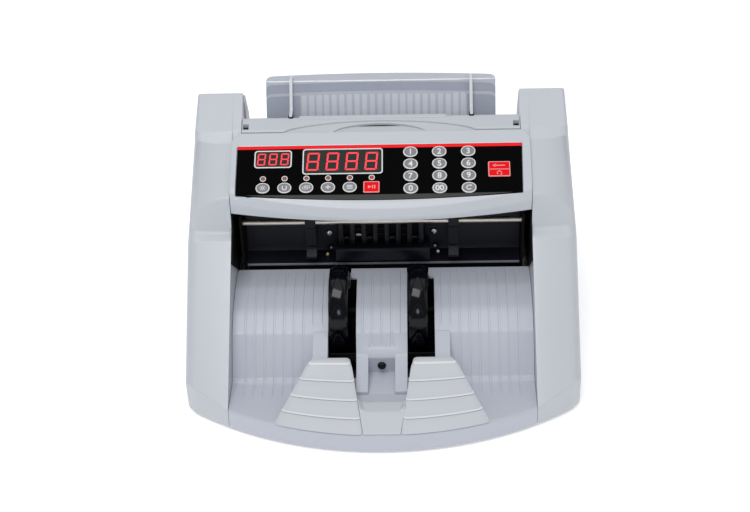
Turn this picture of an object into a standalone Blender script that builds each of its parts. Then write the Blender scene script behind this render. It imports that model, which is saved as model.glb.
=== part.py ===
# Banknote counting machine: desktop counter with a front stacker tray.
# Units are millimetres in the helpers below and metres in the file.
# X = left/right, -Y = front (operator side), +Z = up, Z = 0 is the desk.
import bpy
import bmesh
import math
from mathutils import Vector, Matrix

MM = 0.001

# ---------------------------------------------------------------- main sizes
HALF_W = 147.0          # half width over the side covers
FRONT_Y = -122.0        # foremost point of the bowed front
ARC_R = 240.0           # plan radius of the bowed front
ARC_CY = FRONT_Y + ARC_R
IN_X = 113.4            # inner wall of the side covers
EAR_X = 106.5           # inner wall of the hopper ears
BASE_Z = 2.5            # lower edge of the covers (feet stand 2.5 below)
WALL = 2.5              # moulded wall thickness
FLOOR_Z = 17.6          # floor of the stacker tray
TILT = math.radians(28.0)   # slope of the control panel
PANEL_Y, PANEL_Z = 10.34, 133.437   # lower end of the overlay, centre line

IMP_Y, IMP_Z, IMP_R = -10.0, 46.0, 36.0      # stacking wheels
ROD_Y, ROD_Z = 28.0, 103.0                   # rod of the press arms
EXIT_Y, EXIT_Z = 31.0, 92.0                  # exit roller shaft
FEED_Y, FEED_Z = 72.0, 112.0                 # feed roller shaft

# ---------------------------------------------------------------- scene reset
for o in list(bpy.data.objects):
    bpy.data.objects.remove(o, do_unlink=True)
root = bpy.context.scene.collection
tools = bpy.data.collections.new("tools")
root.children.link(tools)


def material(name, rgb, rough, metal=0.0, alpha=1.0):
    m = bpy.data.materials.new(name)
    m.use_nodes = True
    b = m.node_tree.nodes["Principled BSDF"]
    b.inputs["Base Color"].default_value = (rgb[0], rgb[1], rgb[2], 1.0)
    b.inputs["Roughness"].default_value = rough
    b.inputs["Metallic"].default_value = metal
    b.inputs["Alpha"].default_value = alpha
    return m


M_BODY = material("body_grey", (0.56, 0.58, 0.62), 0.45)
M_TRAY = material("tray_grey", (0.50, 0.52, 0.58), 0.5)
M_STOP = material("stop_grey", (0.62, 0.64, 0.67), 0.5)
M_PANEL = material("panel_black", (0.01, 0.01, 0.011), 0.3)
M_KEY = material("key_grey", (0.25, 0.25, 0.26), 0.5)
M_RED = material("key_red", (0.65, 0.03, 0.05), 0.45)
M_LED = material("display_red", (0.5, 0.02, 0.04), 0.25)
M_LAMP = material("lamp_amber", (0.35, 0.1, 0.02), 0.35)
M_BLACK = material("inner_black", (0.015, 0.015, 0.018), 0.45)
M_WHEEL = material("wheel_black", (0.012, 0.012, 0.014), 0.2)
M_RUBBER = material("roller_rubber", (0.03, 0.03, 0.032), 0.8)
M_STEEL = material("shaft_steel", (0.6, 0.58, 0.55), 0.3, 1.0)
M_CLEAR = material("clear_plastic", (0.75, 0.78, 0.85), 0.15, 0.0, 0.45)
M_RIB = material("rib_white", (0.78, 0.79, 0.8), 0.4)
M_BOARD = material("board_green", (0.03, 0.16, 0.07), 0.5)
M_MOTOR = material("motor_grey", (0.3, 0.31, 0.33), 0.4, 0.8)


# ---------------------------------------------------------------- helpers
def finish(name, bm, mat, coll=None, smooth=False):
    bmesh.ops.remove_doubles(bm, verts=bm.verts, dist=0.0005)
    bmesh.ops.recalc_face_normals(bm, faces=bm.faces)
    for v in bm.verts:
        v.co *= MM
    me = bpy.data.meshes.new(name)
    bm.to_mesh(me)
    bm.free()
    ob = bpy.data.objects.new(name, me)
    (coll or root).objects.link(ob)
    if mat:
        me.materials.append(mat)
    if coll is tools:
        ob.hide_render = True
        ob.display_type = 'WIRE'
    return ob


def loft(name, rings, mat, coll=None):
    """Closed body through equal-length rings; flat caps at both ends."""
    bm = bmesh.new()
    rows = [[bm.verts.new(p) for p in r] for r in rings]
    n = len(rows[0])
    for a, b in zip(rows[:-1], rows[1:]):
        for i in range(n):
            j = (i + 1) % n
            bm.faces.new((a[i], a[j], b[j], b[i]))
    bm.faces.new(list(reversed(rows[0])))
    bm.faces.new(rows[-1])
    return finish(name, bm, mat, coll)


def prism(name, pts, axis, a, b, mat, coll=None, xf=None):
    """Flat outline swept straight along one axis."""
    bm = bmesh.new()
    if axis == 'X':
        co = [(a, p[0], p[1]) for p in pts]
        d = Vector((b - a, 0, 0))
    elif axis == 'Y':
        co = [(p[0], a, p[1]) for p in pts]
        d = Vector((0, b - a, 0))
    else:
        co = [(p[0], p[1], a) for p in pts]
        d = Vector((0, 0, b - a))
    f = bm.faces.new([bm.verts.new(c) for c in co])
    r = bmesh.ops.extrude_face_region(bm, geom=[f])
    bmesh.ops.translate(bm, vec=d, verts=[g for g in r["geom"] if isinstance(g, bmesh.types.BMVert)])
    if xf is not None:
        bmesh.ops.transform(bm, matrix=xf, verts=bm.verts)
    return finish(name, bm, mat, coll)


def box(name, x0, x1, y0, y1, z0, z1, mat, coll=None, xf=None):
    return prism(name, [(x0, y0), (x1, y0), (x1, y1), (x0, y1)], 'Z', z0, z1, mat, coll, xf)


def lathe_x(name, prof, cy, cz, mat, seg=24, coll=None):
    """prof = [(x, radius), ...] turned about an axis parallel to X."""
    bm = bmesh.new()
    rows = []
    for x, r in prof:
        rows.append([bm.verts.new((x, cy + r * math.cos(2 * math.pi * k / seg),
                                   cz + r * math.sin(2 * math.pi * k / seg))) for k in range(seg)])
    for a, b in zip(rows[:-1], rows[1:]):
        for i in range(seg):
            j = (i + 1) % seg
            bm.faces.new((a[i], a[j], b[j], b[i]))
    bm.faces.new(list(reversed(rows[0])))
    bm.faces.new(rows[-1])
    return finish(name, bm, mat, coll)


def cyl_z(name, cx, cy, z0, z1, r, mat, seg=20, coll=None, r1=None):
    r1 = r if r1 is None else r1
    ring = lambda rr, z: [(cx + rr * math.cos(2 * math.pi * k / seg), cy + rr * math.sin(2 * math.pi * k / seg), z)
                          for k in range(seg)]
    return loft(name, [ring(r, z0), ring(r1, z1)], mat, coll)


def boolean(ob, tool, op):
    m = ob.modifiers.new("cut_" + tool.name, 'BOOLEAN')
    m.operation = op
    m.solver = 'EXACT'
    m.object = tool
    return m


def cut(ob, tool):
    return boolean(ob, tool, 'DIFFERENCE')


def join(ob, tool):
    return boolean(ob, tool, 'UNION')


def soften(ob, width, segs=2, angle=35.0):
    m = ob.modifiers.new("edges", 'BEVEL')
    m.width = width * MM
    m.segments = segs
    m.limit_method = 'ANGLE'
    m.angle_limit = math.radians(angle)
    m.harden_normals = False
    return m


def front_y(x):
    return ARC_CY - math.sqrt(max(ARC_R ** 2 - x * x, 0.0))


def offset_ring(pts, d):
    """Move a closed (counter-clockwise) outline inwards by d."""
    n = len(pts)
    area = sum(pts[i][0] * pts[(i + 1) % n][1] - pts[(i + 1) % n][0] * pts[i][1] for i in range(n))
    s = 1.0 if area > 0 else -1.0
    out = []
    for i in range(n):
        p0, p1, p2 = Vector(pts[i - 1]), Vector(pts[i]), Vector(pts[(i + 1) % n])
        e1 = (p1 - p0).normalized()
        e2 = (p2 - p1).normalized()
        n1 = Vector((-e1.y, e1.x)) * s
        n2 = Vector((-e2.y, e2.x)) * s
        m = n1 + n2
        k = max(m.length_squared * 0.5, 0.35)
        out.append(tuple(p1 + m * (d / k)))
    return out


def panel_xf():
    """Local (x, v, n): v runs up the sloping panel, n stands off it."""
    c, s = math.cos(TILT), math.sin(TILT)
    m = Matrix(((1, 0, 0, 0), (0, c, -s, PANEL_Y), (0, s, c, PANEL_Z), (0, 0, 0, 1)))
    return m


PXF = panel_xf()


# ================================================================ base parts
def arc_outline(xh, inset, rear, n=12):
    pts = []
    for i in range(n + 1):
        x = -xh + 2 * xh * i / n
        pts.append((x, front_y(x) + inset))
    pts += [(xh, rear), (-xh, rear)]
    return pts


base_pan = prism("base_pan", arc_outline(110.0, 6.0, 112.0), 'Z', 3.8, 5.4, M_MOTOR)

feet = {}
for nm, x, y in (("foot_front_left", -92, -82), ("foot_front_right", 92, -82),
                 ("foot_rear_left", -92, 98), ("foot_rear_right", 92, 98)):
    feet[nm] = cyl_z(nm, x, y, 0.0, 3.5, 8.0, M_RUBBER, 20, None, 9.0)


# ---------------------------------------------------------------- side covers
def side_ring(u):
    """Side view outline (y, z) at u = 0 (inner wall) ... 1 (outer wall)."""
    x = IN_X + (HALF_W - IN_X) * u
    yf = front_y(min(x, 143.5))
    zc = 17.0 + 10.0 * min(1.0, u * 1.15) ** 0.8
    f = math.sqrt(max(0.0, 1.0 - min(1.0, u / 0.9) ** 2))    # height of the shoulder, fades outwards
    return [
        (yf, BASE_Z), (yf, zc - 2.4), (yf + 1.8, zc),
        (0.0, 97.5 + 1.0 * u), (6.0, 102.7), (10.5, 106.2),
        (12.6, 108.0 + 1.8 * f), (13.4 + 0.3 * f, 108.8 + 20.4 * f), (15.0 + 0.4 * f, 110.3 + 23.0 * f),
        (18.8 + 0.9 * f, 113.9 + 22.2 * f), (59.5 - 3.0 * (1.0 - u), 153.4 + 2.4 * (1.0 - u)), (63.5, 158.9 + 0.9 * (1.0 - u)),
        (66.8, 161.4 + 1.4 * (1.0 - u)),
        (93.8, 179.9), (112.0, 150.0), (118.6, 60.0), (120.6, BASE_Z),
    ]


def core_ring(u):
    """Simplified outline used for the hollow inside of a side cover."""
    x = IN_X + (HALF_W - IN_X) * u
    yf = front_y(min(x, 143.5))
    zc = 16.0 + 10.0 * min(1.0, u * 1.15) ** 0.8
    f = math.sqrt(max(0.0, 1.0 - min(1.0, u / 0.9) ** 2))
    return [(yf, -16.0), (yf, zc), (10.5, 105.0), (14.5 + 0.8 * f, 108.9 + 19.4 * f), (64.0, 155.6), (93.8, 174.0),
            (111.0, 148.0), (118.0, 60.0), (120.6, -16.0)]


def side_half(z):
    return HALF_W - (0.0 if z < 100.0 else (z - 100.0) * 5.8 / 78.0)


def side_rings(sign, x_lo, inset, drop):
    rings = []
    rad = 4.0 if drop else 6.0
    xe = HALF_W - inset - rad
    xs = [(x_lo + (xe - x_lo) * k / 6.0, 0.0) for k in range(7)]
    for a in (22, 45, 68, 88):
        t = math.radians(a)
        xs.append((xe + rad * math.sin(t), rad * (1 - math.cos(t))))
    for x, ins in xs:
        u = max(0.0, min(1.0, (x - IN_X) / (HALF_W - IN_X)))
        ring = core_ring(u) if drop else side_ring(u)
        ring = offset_ring(ring, inset + ins)
        out = []
        for y, z in ring:
            k = (side_half(z) - IN_X) / (HALF_W - IN_X)
            out.append((sign * (IN_X + (x - IN_X) * k), y, z))
        rings.append(out)
    return rings


for side, sg in (("left", -1.0), ("right", 1.0)):
    cover = loft(side + "_side_cover", side_rings(sg, IN_X, 0.0, False), M_BODY)
    ear = prism(side + "_ear_block", [(67.2, 146.0), (67.2, 162.8), (93.2, 179.4), (94.2, 179.0),
                                      (110.6, 151.0), (112.4, 146.0), (114.0, 122.0), (100.0, 122.0)],
                'X', sg * EAR_X, sg * (IN_X + 1.5), None, tools)
    join(cover, ear)
    core = loft(side + "_cover_core", side_rings(sg, IN_X + WALL, WALL, True), None, tools)
    cut(cover, core)

# ---------------------------------------------------------------- stacker tray
TRAY_TOP = [(24.0, 61.5), (4.0, 61.0), (-10.0, 58.9), (-20.0, 55.8), (-30.0, 51.0),
            (-37.0, 45.8), (-57.5, 20.2), (-60.5, FLOOR_Z)]
TRAY_HALF = IN_X - 0.3
TRAY_T = 2.4


def tray_ring(x):
    yf = front_y(x)
    top = TRAY_TOP + [(yf + 1.4, FLOOR_Z), (yf, FLOOR_Z - 1.2), (yf, BASE_Z), (yf + TRAY_T, BASE_Z),
                      (yf + TRAY_T, FLOOR_Z - TRAY_T)]
    under = [(-59.6, FLOOR_Z - TRAY_T), (-55.6, 18.8), (-35.3, 44.1), (-29.0, 48.9), (-19.3, 53.5),
             (-9.6, 56.5), (4.0, 58.6), (24.0, 59.1)]
    return [(x, p[0], p[1]) for p in top + under]


tray = loft("stacker_tray", [tray_ring(-TRAY_HALF + 2 * TRAY_HALF * i / 16) for i in range(17)], M_TRAY)
tongue = prism("tray_tongue", [(-37.5, 45.0), (-48.5, 32.6), (-76.0, 20.2), (-77.0, 18.9), (-77.0, 16.4),
                               (-49.0, 16.4), (-45.0, 16.4), (-38.8, 43.0)],
               'X', -19.8, 18.5, None, tools)
join(tray, tongue)
for nm, a, b in (("tray_pad_left", -52.0, -40.8), ("tray_pad_right", 39.4, 50.4)):
    pad = prism(nm, [(-33.5, 48.0), (-58.0, 37.2), (-58.6, 36.2), (-58.6, 30.0), (-52.0, 26.0), (-42.0, 38.6)],
                'X', a, b, None, tools)
    join(tray, pad)
for nm, a, b, n1 in (("tray_slot_left", -40.9, -19.9, -25.0), ("tray_slot_right", 18.6, 39.2, 34.9)):
    cut(tray, prism(nm, [(a, -58.5), (b, -58.5), (b, 11.5), (n1 + 0.6, 12.5), (n1, 14.0), (n1, 40.0), (a, 40.0)],
                    'Z', 4.0, 90.0, None, tools))
cut(tray, box("tray_pocket", -10.9, 9.4, -90.0, -49.6, FLOOR_Z, 60.0, None, tools))


# ---------------------------------------------------------------- stacker stops
def stop_inner(y):
    return 13.9 + (y + 121.5) * 0.163


def stop_outer(y):
    return 78.2 - (y + 109.3) * 0.549


def stop_rings(sg, inset, bottom):
    """Wedge with three shallow steps on its sloping face; level by level."""
    levels = []
    # (height fraction, step setback)
    sched = [(0.0, 0.0), (0.19, 0.0), (0.2, 0.9), (0.42, 0.9), (0.43, 1.8), (0.685, 1.8), (0.695, 2.7),
             (0.86, 2.7), (0.94, 2.7), (0.985, 3.0), (1.0, 3.6)]
    z0, z1 = FLOOR_Z + 0.3, 40.8
    rings = []
    for f, setback in sched:
        z = z0 + (z1 - z0) * f
        yi = front_y(13.9) * (1 - f) + (-64.0) * f + (setback - 3.6 * f)
        yo = front_y(78.3) * (1 - f) + (-64.0) * f + (setback - 3.6 * f)
        xi, xo = stop_inner(yi), stop_outer(yo)
        ri, ro = stop_inner(-60.5), stop_outer(-60.5)
        if f > 0.8:                       # rounded upper corners
            q = (f - 0.8) / 0.2
            r = 6.0 * (1 - math.sqrt(max(0.0, 1 - q * q)))
            xi, xo, ri, ro = xi + r, xo - r, ri + r, ro - r
        xi, ri, xo, ro = xi + inset, ri + inset, xo - inset, ro - inset
        front = []
        for i in range(7):
            x = xo + (xi - xo) * i / 6.0
            ya = front_y(78.3 + (13.9 - 78.3) * i / 6.0) * (1 - f) + (-64.0) * f
            front.append((sg * x, ya + (setback - 3.6 * f) + inset * 1.6, z - inset * 0.9))
        rear = [(sg * ri, -60.5 - inset, z - inset * 0.9), (sg * ro, -60.5 - inset, z - inset * 0.9)]
        ring = front + rear
        if bottom and f == 0.0:
            ring = [(p[0], p[1], p[2] - 6.0) for p in ring]
        rings.append(ring)
    return rings


for side, sg in (("left", -1.0), ("right", 1.0)):
    stop = loft(side + "_stacker_stop", stop_rings(sg, 0.0, False), M_STOP)
    core = loft(side + "_stop_core", stop_rings(sg, 2.2, True), None, tools)
    cut(stop, core)


def block_ring(y):
    z0 = FLOOR_Z + 0.3
    if y < -103.6:
        top, lip = 18.6 + (y + 121.7) * 0.32, 0.0
    else:
        top, lip = 24.3, min(1.0, (y + 103.6) / 2.5) * 3.0
    w = stop_inner(y) - 0.5
    return [(-w, y, z0), (w, y, z0), (w, y, top + lip), (w - 1.0, y, top + 0.9 * lip), (w - 2.2, y, top + 0.35 * lip),
            (w - 4.2, y, top), (-w + 4.2, y, top), (-w + 2.2, y, top + 0.35 * lip), (-w + 1.0, y, top + 0.9 * lip),
            (-w, y, top + lip)]


loft("stacker_centre_block", [block_ring(y) for y in (-121.4, -120.6, -104.6, -103.6, -102.4, -101.0, -93.0, -92.0)],
     M_STOP)

# small domed sensor on the rear wall of the pocket
bm = bmesh.new()
rows = []
for yy, rr in ((-49.9, 3.2), (-51.0, 3.1), (-51.9, 2.5), (-52.5, 1.4)):
    rows.append([bm.verts.new((-0.9 + rr * math.cos(2 * math.pi * k / 16), yy, 24.2 + rr * math.sin(2 * math.pi * k / 16)))
                 for k in range(16)])
for a, b in zip(rows[:-1], rows[1:]):
    for i in range(16):
        j = (i + 1) % 16
        bm.faces.new((a[i], a[j], b[j], b[i]))
bm.faces.new(list(reversed(rows[0])))
bm.faces.new(rows[-1])
finish("stacker_sensor", bm, M_BLACK)


# ---------------------------------------------------------------- control panel housing
def nose_y(x):
    return 1.4 + (455.0 - math.sqrt(455.0 ** 2 - x * x)) * 0.93


def plane_z(y, off=0.0):
    return PANEL_Z + (y - PANEL_Y) * math.tan(TILT) + off / math.cos(TILT)


HOUSE_HALF = 113.1


def house_ring(x):
    ny = nose_y(x)
    rear = 63.0
    t = 3.0
    zt = plane_z(ny + 6.2)
    top = [(rear, plane_z(rear, 0.4)), (ny + 9.0, plane_z(ny + 9.0, 0.4)), (ny + 4.4, zt - 1.0), (ny + 1.6, zt - 3.4),
           (ny + 0.3, zt - 6.6), (ny, zt - 9.6), (ny + 0.4, 120.3), (ny + 1.4, 119.4), (ny + 4.0, 119.6)]
    low = [(ny + 4.2, 122.5), (ny + 4.2, zt - 8.4), (ny + 6.6, zt - 6.0), (ny + 11.0, plane_z(ny + 11.0, -4.2)),
           (rear - 2.0, plane_z(rear - 2.0, -4.2)), (rear - 2.0, plane_z(rear, -12.0)), (rear, plane_z(rear, -12.0))]
    return [(x, p[0], p[1]) for p in top + low]


house = loft("control_panel_housing", [house_ring(-HOUSE_HALF + 2 * HOUSE_HALF * i / 14) for i in range(15)], M_BODY)
# recess for the overlay and windows for displays and keys
ov_pts = []
for i in range(13):
    x = -109.0 + 215.9 * i / 12
    ov_pts.append((x, -0.6 + 5.4 * (x / 106.9) ** 2))
ov_pts += [(106.9, 48.2), (-109.0, 48.2)]
cut(house, prism("overlay_recess", ov_pts, 'Z', -1.5, 6.0, None, tools, PXF))
cut(house, box("window_left", -100.5, 5.0, 3.6, 46.2, -8.0, 3.0, None, tools, PXF))
cut(house, box("window_keys", 14.5, 74.5, 2.6, 47.0, -8.0, 3.0, None, tools, PXF))
cut(house, box("window_reset", 78.4, 99.5, 15.8, 34.0, -8.0, 3.0, None, tools, PXF))
# corner set-backs where the side covers reach in beside the lid
for nm, sg in (("corner_left", -1.0), ("corner_right", 1.0)):
    cut(house, prism(nm, [(sg * 120.0, 54.0), (sg * 113.0, 56.5), (sg * 106.0, 64.5), (sg * 106.0, 80.0), (sg * 120.0, 80.0)],
                     'Z', 120.0, 175.0, None, tools))

ov_pts = []
for i in range(13):
    x = -108.6 + 215.1 * i / 12
    ov_pts.append((x, -0.2 + 5.4 * (x / 106.5) ** 2))
ov_pts += [(106.5, 46.6), (105.3, 47.8), (-107.4, 47.8), (-108.6, 46.6)]
overlay = prism("panel_overlay", ov_pts, 'Z', -1.2, 0.0, M_PANEL, None, PXF)

KEY_COLS = (22.6, 44.3, 66.1)
KEY_ROWS = (41.0, 30.5, 20.0, 9.3)
FUNC_X = (-88.2, -71.9, -55.5, -39.2, -22.9)
FUNC_V = 11.1
LAMP_X = (-88.2, -71.9, -55.5, -39.2, -22.9, -6.5)
LAMP_V = 19.1


def oval(cx, cv, w, h, n=16):
    """Stadium-like outline: super-ellipse with full ends."""
    pts = []
    for k in range(n):
        a = 2 * math.pi * (k + 0.5) / n
        c, s = math.cos(a), math.sin(a)
        pts.append((cx + w / 2 * math.copysign(abs(c) ** 0.82, c), cv + h / 2 * math.copysign(abs(s) ** 0.82, s)))
    return pts


keys = []          # (node name, outline)
names = [["key_1", "key_2", "key_3"], ["key_4", "key_5", "key_6"], ["key_7", "key_8", "key_9"],
         ["key_0", "key_00", "key_clear"]]
for r in range(4):
    for c in range(3):
        keys.append((names[r][c], KEY_COLS[c], KEY_ROWS[r], 11.0, 9.2, 'oval', M_KEY))
for i, x in enumerate(FUNC_X):
    keys.append(("function_key_%d" % (i + 1), x, FUNC_V, 10.6, 9.0, 'oval', M_KEY))
keys.append(("function_key_red", -6.7, 10.9, 12.2, 9.8, 'rect', M_RED))
keys.append(("reset_key", 89.0, 24.9, 16.6, 13.2, 'rect', M_RED))

for nm, x, v, w, h, kind, mat in keys:
    if kind == 'oval':
        out = oval(x, v, w, h)
        hole = oval(x, v, w + 0.8, h + 0.8)
    else:
        out = [(x - w / 2, v - h / 2), (x + w / 2, v - h / 2), (x + w / 2, v + h / 2), (x - w / 2, v + h / 2)]
        hole = [(x - w / 2 - 0.4, v - h / 2 - 0.4), (x + w / 2 + 0.4, v - h / 2 - 0.4),
                (x + w / 2 + 0.4, v + h / 2 + 0.4), (x - w / 2 - 0.4, v + h / 2 + 0.4)]
    prism(nm, out, 'Z', -3.4, 0.5, mat, None, PXF)
    cut(overlay, prism("hole_" + nm, hole, 'Z', -4.0, 3.0, None, tools, PXF))

# displays
DISP = (("led_display_3_digit", -95.2, -67.0, 28.5, 43.6), ("led_display_4_digit", -58.7, 1.7, 22.4, 44.6))
for nm, x0, x1, v0, v1 in DISP:
    box(nm, x0, x1, v0, v1, -4.2, 0.1, M_LED, None, PXF)
    cut(overlay, box("hole_" + nm, x0 - 0.4, x1 + 0.4, v0 - 0.4, v1 + 0.4, -4.0, 3.0, None, tools, PXF))

# strip of six indicator lamps, domes poking through round holes
strip = box("indicator_light_strip", -92.0, -2.6, LAMP_V - 2.4, LAMP_V + 2.4, -3.8, -1.9, M_LAMP, None, PXF)
for i, x in enumerate(LAMP_X):
    ring = lambda r, z: [tuple(PXF @ Vector((x + r * math.cos(2 * math.pi * k / 12), LAMP_V + r * math.sin(2 * math.pi * k / 12), z)))
                         for k in range(12)]
    join(strip, loft("lamp_%d" % i, [ring(1.5, -2.4), ring(1.5, -0.1), ring(1.1, 0.35)], None, tools))
    cut(overlay, loft("hole_lamp_%d" % i, [ring(1.9, -4.0), ring(1.9, 3.0)], None, tools))

bd = [(x, (nose_y(x) - 0.4) / math.cos(TILT) + 3.0) for x in (-101.5, -80.0, -55.0, -28.0, 0.0, 28.0, 55.0, 80.0, 101.5)]
prism("control_board", bd + [(101.5, 47.6), (-101.5, 47.6)], 'Z', -6.2, -4.7, M_BOARD, None, PXF)

# ---------------------------------------------------------------- inner works
for side, sg in (("left", -1.0), ("right", 1.0)):
    plate = prism(side + "_frame_plate",
                  [(-26.0, 6.0), (104.0, 6.0), (104.0, 121.0), (66.0, 121.0), (58.0, 126.0), (30.0, 122.0), (20.0, 112.0), (19.0, 74.0),
                   (27.0, 66.0), (27.0, 57.6), (4.0, 56.8), (-10.0, 54.6), (-26.0, 46.0)],
                  'X', sg * 106.4, sg * 108.4, M_BLACK)
    for k, (hy, hz, hr) in enumerate(((IMP_Y, IMP_Z, 3.1), (ROD_Y, ROD_Z, 2.4), (EXIT_Y + 17.5, EXIT_Z, 3.1),
                                      (FEED_Y, FEED_Z, 3.1))):
        cut(plate, lathe_x("%s_bore_%d" % (side, k), [(sg * 100.0, hr), (sg * 112.0, hr)], hy, hz, None, 16, tools))

# black guide plate behind the wheels, with a rolled lower edge
baffle = prism("baffle_plate", [(28.0, 63.2), (29.2, 62.4), (41.6, 66.0), (42.6, 67.0), (42.6, 121.0), (41.0, 121.0), (41.0, 68.4),
                                (28.6, 64.6)], 'X', -106.0, 106.0, M_BLACK)
for i, cx in enumerate((-27.6, -9.8, 7.9, 25.4)):
    cut(baffle, box("roller_window_%d" % i, cx - 6.6, cx + 6.6, 38.0, 46.0, 80.0, 110.0, None, tools))
lathe_x("arm_rod", [(-108.6, 2.3), (108.6, 2.3)], ROD_Y, ROD_Z, M_STEEL, 16)

# comb with four pairs of guide fingers over the exit rollers
comb = prism("guide_comb", [(25.2, 67.6), (37.0, 67.6), (37.0, 79.0), (26.6, 79.0), (25.2, 77.6)], 'X', -36.4, 36.4, M_BLACK)
for i, cx in enumerate((-27.6, -9.8, 7.9, 25.4)):
    for s2 in (-1, 1):
        a = cx + s2 * 6.2
        b = cx + s2 * 3.4
        join(comb, prism("finger_%d_%d" % (i, s2), [(31.0, 78.0), (37.0, 78.0), (37.0, 117.0), (32.6, 117.0)],
                         'X', min(a, b), max(a, b), None, tools))

# exit rollers: four pairs of rubber tyres on one shaft
prof = [(-109.6, 3.0)]
for cx in (-27.6, -9.8, 7.9, 25.4):
    prof += [(cx - 5.2, 3.0), (cx - 5.2, 9.4), (cx - 0.9, 9.4), (cx - 0.9, 7.4), (cx + 0.9, 7.4), (cx + 0.9, 9.4),
             (cx + 5.2, 9.4), (cx + 5.2, 3.0)]
prof.append((109.6, 3.0))
lathe_x("exit_roller_shaft", prof, EXIT_Y + 17.5, EXIT_Z, M_RUBBER, 20)

prof = [(-109.6, 3.0), (-46.0, 3.0), (-46.0, 15.0), (-22.0, 15.0), (-22.0, 3.0), (22.0, 3.0), (22.0, 15.0), (46.0, 15.0),
        (46.0, 3.0), (109.6, 3.0)]
lathe_x("feed_roller_shaft", prof, FEED_Y, FEED_Z, M_RUBBER, 20)

# press arms hanging from the rod
for side, cx in (("left", -54.8), ("right", 54.6)):
    w = 4.0
    arm = prism(side + "_press_arm", [(23.6, 108.2), (32.4, 108.2), (32.8, 98.0), (31.0, 77.4), (25.0, 72.4), (21.4, 73.2),
                                      (21.0, 74.8), (26.4, 78.6), (26.0, 98.0), (23.4, 100.0)],
                'X', cx - w, cx + w, M_BLACK)
    cut(arm, lathe_x(side + "_arm_bore", [(cx - 12, 2.4), (cx + 12, 2.4)], ROD_Y, ROD_Z, None, 16, tools))


# ---------------------------------------------------------------- stacking wheels
def wheel_outline(nf=10, steps=7):
    """Hub with long curved fins that lie back against the rotation."""
    r0, sweep, phase = 15.0, math.radians(92.0), math.radians(100.0)
    mid = []
    for i in range(steps + 1):
        t = 1.0 - i / steps
        r = IMP_R - (IMP_R - r0) * t ** 1.9
        mid.append((r * math.cos(sweep * t), r * math.sin(sweep * t), 2.4 - 1.0 * (1.0 - t)))
    one, two = [], []
    for i, (x, y, th) in enumerate(mid):
        p, q = mid[max(0, i - 1)], mid[min(steps, i + 1)]
        d = Vector((q[0] - p[0], q[1] - p[1])).normalized()
        one.append((x - d.y * th / 2, y + d.x * th / 2))
        two.append((x + d.y * th / 2, y - d.x * th / 2))
    fin = two + list(reversed(one))
    pts = []
    for k in range(nf):
        c, n = math.cos(phase + 2 * math.pi * k / nf), math.sin(phase + 2 * math.pi * k / nf)
        pts += [(IMP_Y + x * c - y * n, IMP_Z + x * n + y * c) for x, y in fin]
    return pts


for side, cx in (("left", -33.0), ("right", 26.9)):
    wheel = prism(side + "_stacking_wheel", wheel_outline(), 'X', cx - 7.1, cx + 7.1, M_WHEEL)
    form = lathe_x(side + "_wheel_form", [(cx - 8.0, 22.0), (cx - 7.1, 32.6), (cx - 4.6, IMP_R - 1.4), (cx - 1.6, IMP_R),
                                          (cx + 1.6, IMP_R), (cx + 4.6, IMP_R - 1.4), (cx + 7.1, 32.6), (cx + 8.0, 22.0)],
                   IMP_Y, IMP_Z, None, 32, tools)
    boolean(wheel, form, 'INTERSECT')
    cut(wheel, lathe_x(side + "_wheel_bore", [(cx - 12, 3.1), (cx + 12, 3.1)], IMP_Y, IMP_Z, None, 16, tools))
lathe_x("impeller_shaft", [(-109.6, 3.0), (109.6, 3.0)], IMP_Y, IMP_Z, M_BLACK, 16)

# ---------------------------------------------------------------- hopper and rear
LID_HALF = EAR_X - 0.5
lid = prism("hopper_lid", [(64.0, 158.4), (64.0, 161.6), (65.0, 162.4), (76.6, 166.2), (78.6, 165.6), (79.4, 163.6), (81.0, 140.0),
                           (79.0, 140.0), (77.0, 162.6), (76.0, 163.4), (66.4, 159.8), (66.0, 158.4)],
            'X', -LID_HALF, LID_HALF, M_BODY)
scoop_pts = []
for k in range(9):
    a = math.pi * k / 8
    scoop_pts.append((-1.0 + 34.0 * math.cos(a), 62.0 + 7.4 * math.sin(a)))
cut(lid, prism("lid_scoop", scoop_pts, 'Z', 162.9, 170.0, None, tools))
for nm, sg in (("notch_left", -1.0), ("notch_right", 1.0)):
    cut(lid, box(nm, min(sg * 98.5, sg * 106.0), max(sg * 98.5, sg * 106.0), 60.0, 70.5, 150.0, 170.0, None, tools))

CLEAR = [(82.6, 140.0), (85.0, 158.0), (95.0, 178.4), (99.4, 186.2), (107.2, 189.8)]


def strip_ring(path, d0, d1, x_of=None):
    """Two parallel offsets of a side-view path, joined to a closed outline."""
    a, b = [], []
    for i, p in enumerate(path):
        p = Vector(p)
        if i == 0:
            t = (Vector(path[1]) - p).normalized()
        elif i == len(path) - 1:
            t = (p - Vector(path[-2])).normalized()
        else:
            t = ((Vector(path[i + 1]) - p).normalized() + (p - Vector(path[i - 1])).normalized()).normalized()
        n = Vector((-t.y, t.x))
        a.append(tuple(p + n * d0))
        b.append(tuple(p + n * d1))
    return a + list(reversed(b))


clear = prism("clear_note_support", strip_ring(CLEAR, -2.0, 0.0), 'X', -88.5, 88.5, M_CLEAR)
for nm, cx in (("left_support_rib", -69.0), ("right_support_rib", 69.6)):
    path = [(80.8, 167.2), (86.0, 166.6), (94.0, 179.2), (98.6, 187.0), (105.6, 190.0)]
    prism(nm, [(76.4, 166.8), (80.6, 166.9), (88.2, 166.9), (94.4, 178.9), (98.9, 186.7), (105.2, 189.6), (104.6, 190.6), (97.4, 188.4), (91.6, 180.6),
               (84.0, 169.6), (76.4, 168.4)], 'X', cx - 1.2, cx + 1.2, M_RIB)

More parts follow.
